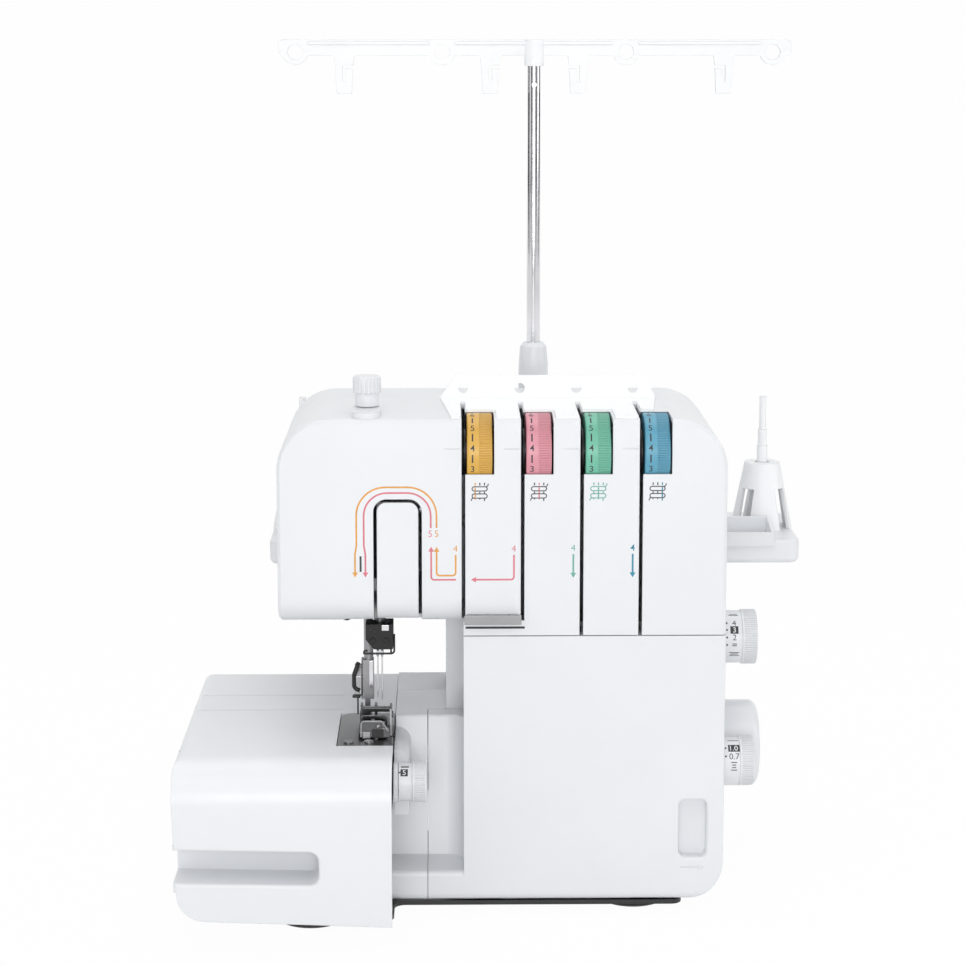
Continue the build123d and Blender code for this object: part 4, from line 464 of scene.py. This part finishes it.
# %% Stitch drawings
dials = (1, 2, 3, 4)
slot_to_dial = 1.9
slots_at = [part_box(f"tension_dial_{number}")[0].x / MM - slot_to_dial for number in dials]
uprights_at = (2.1, 4.6, 7.1)
coloured = [("orange", 2.1), ("pink", 4.6), ("green", 4.6), ("blue", 7.1)]
net_line, loop_radius, tail_radius = 0.55, 1.15, 1.1
for slot_x, (colour, own_upright) in zip(slots_at, coloured):
    net = "green" if colour == "green" else "dark"
    left, low = slot_x + 4.2, 230.6
    for row in (1.8, 5.7):
        loop = line(net, (left + 4.5, low + row), 0, net_line).run(2.9).bend(180, loop_radius)
        loop.run(5.8).bend(180, loop_radius).run(2.9)
    line(net, (left + 1.2, low + 1.8), 180, net_line).bend(75, tail_radius).run(0.7)
    line(net, (left + 7.9, low + 8.0), 0, net_line).bend(75, tail_radius).run(0.9)
    for across in uprights_at:
        own = across == own_upright
        last = across == uprights_at[-1]
        dashes = [(10.2, 0.62, 1.5)]
        dashes += [(7.6, 0.75, 1.5), (5.3, 0.75, 1.1), (3.7, 0.75, 1.5)] if own else [(5.3, 0.6, 1.1)]
        dashes += [(1.5, 0.65, 1.3 if last else 0.5)]
        for height, width, length in dashes:
            line(colour if own else net, (left + across, low + height), -90, width).run(length)
print("stitch drawings:", len(slots_at))

# %% [markdown]
# ## Figures
# A text object is a flat curve with a font, and its size is set from the height that the real
# figure has. It is made a mesh, moved so that its own middle is at zero, and then stood upright in
# the plane of the panel.

# %% Write figures on the front
figure_share = 0.72  # height of a figure in a font of size 1


def figure(words, height, weight=0.0):
    """Mesh of some figures, centred, in millimetres, with X to the right and Y up."""
    curve = bpy.data.curves.new("figure", "FONT")
    curve.body = words
    curve.size = height / figure_share
    curve.extrude = 0.03
    curve.offset = weight
    curve.resolution_u = 5
    holder = bpy.data.objects.new("figure", curve)
    mesh = bpy.data.meshes.new_from_object(holder)
    bpy.data.objects.remove(holder)
    bm = bmesh.new()
    bm.from_mesh(mesh)
    bpy.data.meshes.remove(mesh)
    bmesh.ops.remove_doubles(bm, verts=bm.verts, dist=0.001)
    xs = [vert.co.x for vert in bm.verts]
    ys = [vert.co.y for vert in bm.verts]
    middle = Vector((-(min(xs) + max(xs)) / 2, -(min(ys) + max(ys)) / 2, 0.0))
    bmesh.ops.translate(bm, verts=bm.verts, vec=middle)
    bmesh.ops.recalc_face_normals(bm, faces=bm.faces)
    return bm


def joined(target, source):
    """Move all of one bmesh into another."""
    mesh = bpy.data.meshes.new("moved")
    source.to_mesh(mesh)
    source.free()
    target.from_mesh(mesh)
    bpy.data.meshes.remove(mesh)


stand_up = Matrix.Rotation(math.radians(90), 4, "X")
figure_height = 3.7
written = {name: bmesh.new() for name in inks}
for colour, words, x, z in (
    ("pink", "5", -41.6, 213.0), ("orange", "5", -38.2, 213.0), ("orange", "4", -28.1, 204.8),
    ("pink", "4", 3.4, 204.8), ("green", "4", 35.4, 205.1), ("blue", "4", 67.4, 205.1),
):
    text = figure(words, figure_height, 0.03 if colour == "blue" else -0.02)
    place = Matrix.Translation(Vector((x, front_y, z)) * MM) @ Matrix.Scale(MM, 4) @ stand_up
    bmesh.ops.transform(text, matrix=place, verts=text.verts)
    joined(written[colour], text)
for colour, drawing in drawings.items():
    raised(drawing)
    joined(drawing, written[colour])
    piece(f"panel_print_{colour}", drawing, inks[colour])
print("panel prints:", len(drawings))

# %% [markdown]
# The dials carry their figures round the rim. The same figures are cut across into thin bands
# first, because a long straight stroke would otherwise dip under the curved surface, and then
# every point is moved from the flat onto the cylinder.

# %% Write figures round the dials
band_height, bands_each_way = 0.8, 6


def wrapped(bm, axis_y, axis_z, radius, angle, x):
    """Wrap a flat drawing in millimetres round an axis along X, at an angle above the front."""
    for cut in range(-bands_each_way, bands_each_way + 1):
        everything = [*bm.verts, *bm.edges, *bm.faces]
        bmesh.ops.bisect_plane(bm, geom=everything, plane_co=(0.0, cut * band_height, 0.0),
                               plane_no=(0.0, 1.0, 0.0))
    for vert in bm.verts:
        turn = math.radians(angle) + vert.co.y / radius
        out = radius + vert.co.z
        y, z = axis_y - out * math.cos(turn), axis_z + out * math.sin(turn)
        vert.co = Vector((x + vert.co.x, y, z)) * MM


def bar(width, height, thick=0.03):
    """A plain bar of ink, centred, in millimetres."""
    bm = bmesh.new()
    bmesh.ops.create_cube(bm, size=1.0)
    bmesh.ops.scale(bm, verts=bm.verts, vec=(width, height, 2 * thick))
    return bm


def round_part(node):
    """Middle and radius of a part that is round about X, in millimetres."""
    low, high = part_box(node)
    return (low + high) / (2 * MM), (high.z - low.z) / (2 * MM)


set_to, shown_at, figure_step = 4, 13.3, 32.4
last_figure = 9
for number in dials:
    node = f"tension_dial_{number}"
    centre, radius = round_part(node)
    figures_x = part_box(node)[0].x / MM + 3.0
    ring = bmesh.new()
    for count in range(last_figure + 1):
        angle = shown_at + (count - set_to) * figure_step
        mark = figure(str(count), figure_height, 0.02)
        wrapped(mark, centre.y, centre.z, radius, angle, figures_x)
        joined(ring, mark)
        if count < last_figure:
            stroke = bar(0.8, 4.4)
            wrapped(stroke, centre.y, centre.z, radius, angle + figure_step / 2, figures_x)
            joined(ring, stroke)
    piece(f"dial_figures_{number}", ring, inks["dark"], f"dial_{number}")
print("figures on the tension dials:", len(dials) * (last_figure + 1))

# %% [markdown]
# The two dials on the right side and the one beside the needles have their scales on the smooth
# half of the rim. The value that suits most fabric stands in a dark box, as a light figure, with a
# dot beside each value. Each mark is written with its angle above the front, so one function can
# wrap them all.

# %% Scales of the side dials
inks["light"] = ink("light_ink", (0.82, 0.82, 0.82, 1.0))


def dots(x, width, *angles):
    return [("dot", "", angle, x, width) for angle in angles]


def bars(x, *angles_and_widths):
    return [("bar", "", angle, x, width) for angle, width in angles_and_widths]


def scale_ring(node, inset, body, name, marks):
    """Figures, boxes, dots and bars round one dial: (kind, words, angle, x, width)."""
    centre, radius = round_part(node)
    band_radius, above_box = radius - inset, 0.035
    rings = {"dark": bmesh.new(), "light": bmesh.new()}
    for kind, words, angle, x, width in marks:
        if kind == "dot":
            mark = bmesh.new()
            bmesh.ops.create_cone(mark, segments=16, radius1=width / 2, radius2=width / 2,
                                  depth=0.06, cap_ends=True)
        elif kind == "bar":
            mark = bar(width, 0.5)
        elif kind == "box":
            mark = bar(width, 4.3)
            light = figure(words, 3.1, 0.03)
            bmesh.ops.translate(light, verts=light.verts, vec=(0.0, 0.0, above_box))
            wrapped(light, centre.y, centre.z, band_radius, angle, x)
            joined(rings["light"], light)
        else:
            mark = figure(words, 3.4)
        wrapped(mark, centre.y, centre.z, band_radius, angle, x)
        joined(rings["dark"], mark)
    for colour, ring in rings.items():
        piece(f"{name}_{colour}", ring, inks[colour], body)


length_x, feed_x, width_x = 128.2, 125.6, -55.6
scale_ring("stitch_length_dial", 0.6, "length_dial", "length_scale", [
    ("figure", "4", 44.0, length_x, 0), ("box", "3", 27.9, length_x, 4.5),
    ("figure", "2", 11.5, length_x, 0), *dots(124.0, 1.1, 44.0, 27.9, 11.5, -5.0),
    *bars(length_x, (-3.0, 2.6), (-7.0, 2.6), (-24.0, 5.6), (-28.0, 4.2), (-32.0, 5.6),
          (66.0, 5.6), (70.0, 4.2)),
])
scale_ring("differential_dial", 0.6, "feed_dial", "feed_scale", [
    ("box", "1.0", 47.0, feed_x, 6.4), ("figure", "0.7", 25.7, feed_x, 0),
    *dots(120.9, 1.1, 47.0, 25.7),
    *bars(125.4, (11.0, 3.4), (4.5, 2.2), (-2.0, 2.2), (-8.5, 3.4), (72.0, 6.0)),
])
scale_ring("stitch_width_dial", 0.7, "width_dial", "width_scale", [
    ("box", "5", 46.0, width_x, 3.9), *dots(-58.0, 1.0, 46.0),
    *bars(-55.2, (66.0, 4.2), (70.0, 4.2)),
])
print("scales: 3 dials")

# %% [markdown]
# ## Marks that are part of the moulding
# Some marks have no ink. The tool that made the cover had a line cut into it, so the plastic
# stands up by a tenth of a millimetre there and only its edges catch the light: the read-off line
# at each thread slot, and the arrow that shows which way the looper cover slides.

# %% Raised marks in the colour of the cover
mark_width, mark_proud, mark_sunk = 0.7, 0.12, 0.05
cover_marks = bmesh.new()
for slot_x in slots_at:
    Strip(cover_marks, (slot_x - 10.2, 259.2), 0, mark_width, front_y).run(8.6)
raised(cover_marks, mark_proud, mark_sunk)
piece("readoff_lines", cover_marks, finishes["white_plastic"])

arrow_mark = bmesh.new()
cover_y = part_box("looper_cover")[0].y / MM
Strip(arrow_mark, (95.4, 26.3), 0, mark_width, cover_y).run(9.6).arrow(3.0, 4.6)
raised(arrow_mark, mark_proud, mark_sunk)
piece("slide_arrow", arrow_mark, finishes["white_plastic"], "front_cover")
print("raised marks:", len(slots_at) + 1)

# %% [markdown]
# ## Round the needles
# The foot, its shank and the needle clamp are small and busy, and their wires are too thin for
# the solid model. A wire starts as a disc. Its rim is extruded for a straight run and spun for a
# bend, so a bent wire is written the way that it is made.

# %% A bender for wire, and small blocks
class Wire:
    """Round wire, bent in an upright plane across the machine, in millimetres and degrees."""

    def __init__(self, bm, place, heading, radius):
        self.bm = bm
        self.place = Vector(place) * MM
        self.heading = heading
        face_on = Matrix.Rotation(math.radians(90 - heading), 4, "Y")
        disc = bmesh.ops.create_circle(bm, segments=14, radius=radius * MM, cap_ends=True,
                                       matrix=Matrix.Translation(self.place) @ face_on)
        self.rim(disc["verts"])

    def rim(self, verts):
        self.verts = list(verts)
        members = set(self.verts)
        self.edges = [edge for edge in self.bm.edges if set(edge.verts) <= members]

    def run(self, length):
        step = bearing(self.heading) * length * MM
        grown = bmesh.ops.extrude_edge_only(self.bm, edges=self.edges)["geom"]
        self.rim(part for part in grown if isinstance(part, bmesh.types.BMVert))
        bmesh.ops.translate(self.bm, verts=self.verts, vec=step)
        self.place = self.place + step
        return self

    def bend(self, angle, radius):
        side = math.copysign(90, angle)
        centre = self.place + bearing(self.heading + side) * radius * MM
        steps = max(3, round(abs(angle) / 12))
        spun = bmesh.ops.spin(self.bm, geom=[*self.verts, *self.edges], cent=centre,
                              axis=(0.0, -1.0, 0.0), dvec=(0.0, 0.0, 0.0),
                              angle=math.radians(angle), steps=steps)
        self.rim(part for part in spun["geom_last"] if isinstance(part, bmesh.types.BMVert))
        self.heading += angle
        self.place = centre + bearing(self.heading - side) * radius * MM
        return self

    def end(self):
        bmesh.ops.edgeloop_fill(self.bm, edges=self.edges)
        bmesh.ops.recalc_face_normals(self.bm, faces=self.bm.faces)


def block(bm, low, high, rounding=0.3, steps=2):
    """A block with rounded edges between two corners, in millimetres, added to a bmesh."""
    low, high = Vector(low) * MM, Vector(high) * MM
    made = bmesh.ops.create_cube(bm, size=1.0)["verts"]
    bmesh.ops.scale(bm, verts=made, vec=high - low)
    bmesh.ops.translate(bm, verts=made, vec=(low + high) / 2)
    edges = list(dict.fromkeys(edge for vert in made for edge in vert.link_edges))
    bmesh.ops.bevel(bm, geom=[*made, *edges], offset=rounding * MM, segments=steps, affect="EDGES",
                    profile=0.5, material=-1, clamp_overlap=True)


def pan_head(bm, x, y, z, radius, depth):
    """A domed screw head that faces the front."""
    place = Matrix.Translation(Vector((x, y, z)) * MM) @ stand_up
    bmesh.ops.create_cone(bm, segments=24, radius1=radius * MM, radius2=radius * 0.6 * MM,
                          depth=depth * MM, cap_ends=True, matrix=place)


print("wire bender ready")

# %% [markdown]
# The clamp carries a bent wire that keeps the threads in front of the needles. Beside it are a
# small polished face that catches the light, and four screws.

# %% Needle clamp details
guard = bmesh.new()
guard_wire = Wire(guard, (-61.5, -62.2, 154.3), -90, 0.55).run(9.1).bend(-90, 1.8).run(14.0)
guard_wire.bend(-180, 0.8).run(1.2).end()
piece("needle_guard_wire", guard, finishes["dark_steel"], "needle_unit", smooth=True)
clamp_face = bmesh.new()
block(clamp_face, (-68.3, -63.75, 156.5), (-64.4, -63.4, 159.6), 0.12)
piece("clamp_polished_face", clamp_face, finishes["chrome"], "needle_unit")
clamp_screws = bmesh.new()
large, small = 0.8, 0.5
screws_at = ((-74.0, 150.2, large), (-65.2, 150.2, large), (-74.6, 157.2, small), (-72.4, 156.8, small))
for screw_x, screw_z, radius in screws_at:
    pan_head(clamp_screws, screw_x, -63.6, screw_z, radius, 0.5)
piece("clamp_screw_points", clamp_screws, finishes["foot_steel"], "needle_unit")
print("needle clamp dressed")

# %% [markdown]
# The shank has a polished strip down its right side. The black lever at its left lets go of the
# foot: it is a bent wire, a thin rod below that and a small tab to press.

# %% Shank and release lever
strip = bmesh.new()
block(strip, (-75.7, -51.95, 121.5), (-73.4, -51.4, 136.6), 0.15)
piece("shank_strip", strip, finishes["chrome"], "presser_unit")
lever = bmesh.new()
lever_wire = Wire(lever, (-81.5, -53.6, 136.2), -110, 1.15).run(6.6).bend(20, 4.0).run(5.2)
lever_wire.bend(70, 2.6).run(1.6).end()
Wire(lever, (-81.9, -53.6, 118.0), -90, 0.45).run(11.0).end()
block(lever, (-84.9, -55.4, 116.5), (-80.4, -51.9, 117.9), 0.4)
piece("foot_release_lever", lever, finishes["dark_steel"], "presser_unit", smooth=True)
print("shank dressed")

# %% [markdown]
# The foot has an upright front, with a screw above the middle, and a bridge that is carried by a cheek
# on the left. A strip of lighter steel along the edge of the front is a painted highlight, and the toe
# block and the screw head share its mesh and steel. Under the screw a dark sheet is painted shade where
# the recess in the front lies in shadow. The bridge stands in front of the needle clamp, and the cheek
# is low behind it, because the clamp comes down there with the foot still lifted.

# %% Foot
foot_blocks = {
    "cheek, in front": ((-80.3, -68.2, 104.0), (-74.4, -64.3, 112.8), 0.5, 2),
    "cheek, behind": ((-80.3, -65.2, 104.0), (-74.4, -47.6, 108.4), 0.5, 2),
    "bridge": ((-79.6, -68.2, 112.1), (-63.3, -64.3, 114.6), 0.5, 2),
    "front, high part": ((-79.2, -89.9, 103.6), (-67.6, -88.4, 113.2), 0.6, 3),
    "front, low part": ((-69.0, -89.9, 103.6), (-63.4, -88.4, 109.6), 0.6, 3),
}
foot_body = bmesh.new()
for low, high, rounding, steps in foot_blocks.values():
    block(foot_body, low, high, rounding, steps)
piece("foot_front_and_bridge", foot_body, finishes["foot_steel"], "foot")
# The lighter steel strip along the edge of the front is a painted highlight; the toe block and the
# screw head are in the same mesh and steel.
rim_highlight_toe_and_screw = bmesh.new()
rim_highlight_line = Strip(rim_highlight_toe_and_screw, (-79.0, 104.4), 90, 0.8, -90.0).run(6.8).bend(-90, 1.8).run(8.6)
rim_highlight_line.bend(-58, 1.6).run(5.4)
raised(rim_highlight_toe_and_screw, 0.25, 0.15)
block(rim_highlight_toe_and_screw, (-78.3, -91.0, 103.7), (-74.0, -89.8, 107.4), 0.3)
pan_head(rim_highlight_toe_and_screw, -69.9, -90.2, 110.4, 1.3, 0.7)
piece("foot_rim_highlight_toe_screw", rim_highlight_toe_and_screw, finishes["steel"], "foot")
# A dark sheet over the front is painted shade where the recess lies in shadow.
recess_shade_sheet = bmesh.new()
block(recess_shade_sheet, (-73.2, -90.1, 103.8), (-66.9, -89.7, 108.8), 0.1)
piece("foot_recess_shade_sheet", recess_shade_sheet, finishes["dark_steel"], "foot")
print("foot dressed, blocks:", len(foot_blocks))

# %% [markdown]
# ## The ledge behind the bed
# The top of the bed runs on behind the needles as far as the pillar. It ends in a rounded ledge,
# and a plain white face goes down from it. Only the long edge at the top of its front gets the
# larger rounding, so the edge is picked by its length and its place. The dark strip over the thread
# guide at the bottom of the front panel is painted shadow for the gap there.

# %% Ledge between bed and pillar, and painted shadow in the slot over the thread guide
ledge = bmesh.new()
bed_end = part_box("bed_cover")[1].x / MM
ledge_front, ledge_top = 12.0, 103.0
block(ledge, (bed_end + 0.2, ledge_front, 88.0), (-31.0, 51.4, ledge_top), 0.1, 1)
front_edge = [edge for edge in ledge.edges if edge.calc_length() > 20 * MM
              and all(vert.co.y < (ledge_front + 0.2) * MM and vert.co.z > (ledge_top - 0.3) * MM
                      for vert in edge.verts)]
bmesh.ops.bevel(ledge, geom=front_edge, offset=2.0 * MM, segments=5, affect="EDGES",
                profile=0.5, material=-1, clamp_overlap=True)
piece("bay_ledge", ledge, finishes["white_matte"], smooth=True)
# A dark strip is painted shadow in the gap over the thread guide.
slot_shadow_sheet = bmesh.new()
Strip(slot_shadow_sheet, (-22.6, 161.2), 0, 1.2, front_y).run(32.0)
raised(slot_shadow_sheet, 0.05, 0.05)
piece("guide_slot_painted_shadow", slot_shadow_sheet, finishes["dark_steel"])
print("ledge and slot added")

# %% [markdown]
# ## Floor, backdrop and light
# A pale floor that runs up into a backdrop has no horizon. Seen by the camera, in a reflection or
# through the milky pieces it is nearly plain white, which a Light Path node does, and only a trace
# of the shadow under the feet is left. For all other light it is a normal pale surface.

# %% Floor and backdrop
def pale_sweep():
    """A floor, a quarter round and a wall in one sheet, made by pushing one edge along."""
    half_width, front_end, bend_at, bend_radius, wall_height = 4.0, -3.0, 1.6, 0.8, 2.6
    bm = bmesh.new()
    ends = [bm.verts.new((side, front_end, 0.0)) for side in (-half_width, half_width)]
    edge = bm.edges.new(ends)

    def push(edge, offset):
        grown = bmesh.ops.extrude_edge_only(bm, edges=[edge])["geom"]
        verts = [part for part in grown if isinstance(part, bmesh.types.BMVert)]
        bmesh.ops.translate(bm, verts=verts, vec=offset)
        return next(edge for edge in verts[0].link_edges if edge.other_vert(verts[0]) is verts[1])

    edge = push(edge, (0.0, bend_at - front_end, 0.0))
    bend = bmesh.ops.spin(bm, geom=[*edge.verts, edge], cent=(0.0, bend_at, bend_radius),
                          axis=(1.0, 0.0, 0.0), dvec=(0.0, 0.0, 0.0), angle=math.pi / 2, steps=16)
    edge = next(part for part in bend["geom_last"] if isinstance(part, bmesh.types.BMEdge))
    push(edge, (0.0, 0.0, wall_height))
    bmesh.ops.recalc_face_normals(bm, faces=bm.faces)
    mesh = bpy.data.meshes.new("pale_sweep")
    bm.to_mesh(mesh)
    bm.free()
    return mesh


def pale_floor_finish():
    finish = Finish("pale_floor", roughness=0.9)
    whiteness = 0.97
    dapple = finish.noise(3.0)
    finish.set("base color", finish.blend(dapple, (0.86, 0.86, 0.86, 1.0), (0.90, 0.90, 0.90, 1.0)))
    path = finish.node("ShaderNodeLightPath")
    seen = Amount(finish, path.outputs["Is Camera Ray"])
    for ray in ("Is Glossy Ray", "Is Transmission Ray"):
        seen = seen.math("MAXIMUM", Amount(finish, path.outputs[ray]))
    white = finish.node("ShaderNodeEmission", {}, {"Color": (1.0, 1.0, 1.0, 1.0), "Strength": 1.0})
    sockets = {0: seen * whiteness, 1: finish.shader.outputs[0], 2: white.outputs[0]}
    both = finish.node("ShaderNodeMixShader", {}, sockets)
    finish.plug(finish.tree.nodes["Material Output"].inputs["Surface"], both.outputs[0])
    return finish.material


sweep = bpy.data.objects.new("pale_sweep", pale_sweep())
sweep.data.materials.append(pale_floor_finish())
for face in sweep.data.polygons:
    face.use_smooth = True
bpy.context.scene.collection.objects.link(sweep)
print("sweep faces:", len(sweep.data.polygons))

# %% [markdown]
# A low soft lamp in front fills the recess under the head, a higher one and one overhead brighten
# the tops, and one at each side keeps the edges clear. Chrome needs something dark to reflect, so
# the world that shiny things see has a dark band at each side.

# %% Lamps and world
def soft_lamp(name, place, target, size, power):
    lamp = bpy.data.lights.new(name, "AREA")
    lamp.shape = "RECTANGLE"
    lamp.size, lamp.size_y = size
    lamp.energy = power
    lamp.color = (1.0, 1.0, 1.0)
    holder = bpy.data.objects.new(name, lamp)
    holder.location = place
    holder.rotation_euler = (Vector(target) - Vector(place)).to_track_quat("-Z", "Y").to_euler()
    bpy.context.scene.collection.objects.link(holder)


machine_middle = (0.0, 0.0, 0.2)
soft_lamp("low_softbox", (-0.04, -2.0, 0.52), (-0.04, 0.0, 0.15), (0.8, 0.7), 11.0)
soft_lamp("high_softbox", (-0.25, -1.1, 1.55), (0.0, 0.0, 0.3), (1.4, 0.9), 5.0)
soft_lamp("left_softbox", (-1.9, -0.7, 0.9), machine_middle, (0.9, 1.4), 4.0)
soft_lamp("right_softbox", (1.9, -0.5, 0.9), machine_middle, (0.9, 1.4), 8.5)
soft_lamp("top_softbox", (0.0, 0.5, 2.1), machine_middle, (1.6, 1.2), 11.0)

world = bpy.data.worlds.new("studio")
bpy.context.scene.world = world
world.use_nodes = True
tree = world.node_tree


def world_math(operation, *values):
    """One Math node of the world, kept between 0 and 1."""
    node = tree.nodes.new("ShaderNodeMath")
    node.operation = operation
    node.use_clamp = True
    for socket, value in zip(node.inputs, values):
        if isinstance(value, bpy.types.NodeSocket):
            tree.links.new(value, socket)
        else:
            socket.default_value = value
    return node.outputs[0]


path = tree.nodes.new("ShaderNodeLightPath")
heading = tree.nodes.new("ShaderNodeTexCoord")
split = tree.nodes.new("ShaderNodeSeparateXYZ")
tree.links.new(heading.outputs["Generated"], split.inputs[0])
band_starts, band_slope, band_depth, plain_strength = 0.62, 5.0, 0.97, 0.48
sideways = world_math("ABSOLUTE", split.outputs["X"])
band = world_math("MULTIPLY", world_math("SUBTRACT", sideways, band_starts), band_slope)
band = world_math("MULTIPLY", band, path.outputs["Is Glossy Ray"])
shown = world_math("MAXIMUM", path.outputs["Is Camera Ray"], path.outputs["Is Transmission Ray"])
shown = world_math("MAXIMUM", shown, plain_strength)
strength = world_math("SUBTRACT", shown, world_math("MULTIPLY", band, band_depth))
background = tree.nodes["Background"]
tree.links.new(strength, background.inputs["Strength"])
background.inputs["Color"].default_value = (1.0, 1.0, 1.0, 1.0)
bpy.context.scene.view_settings.view_transform = "Standard"
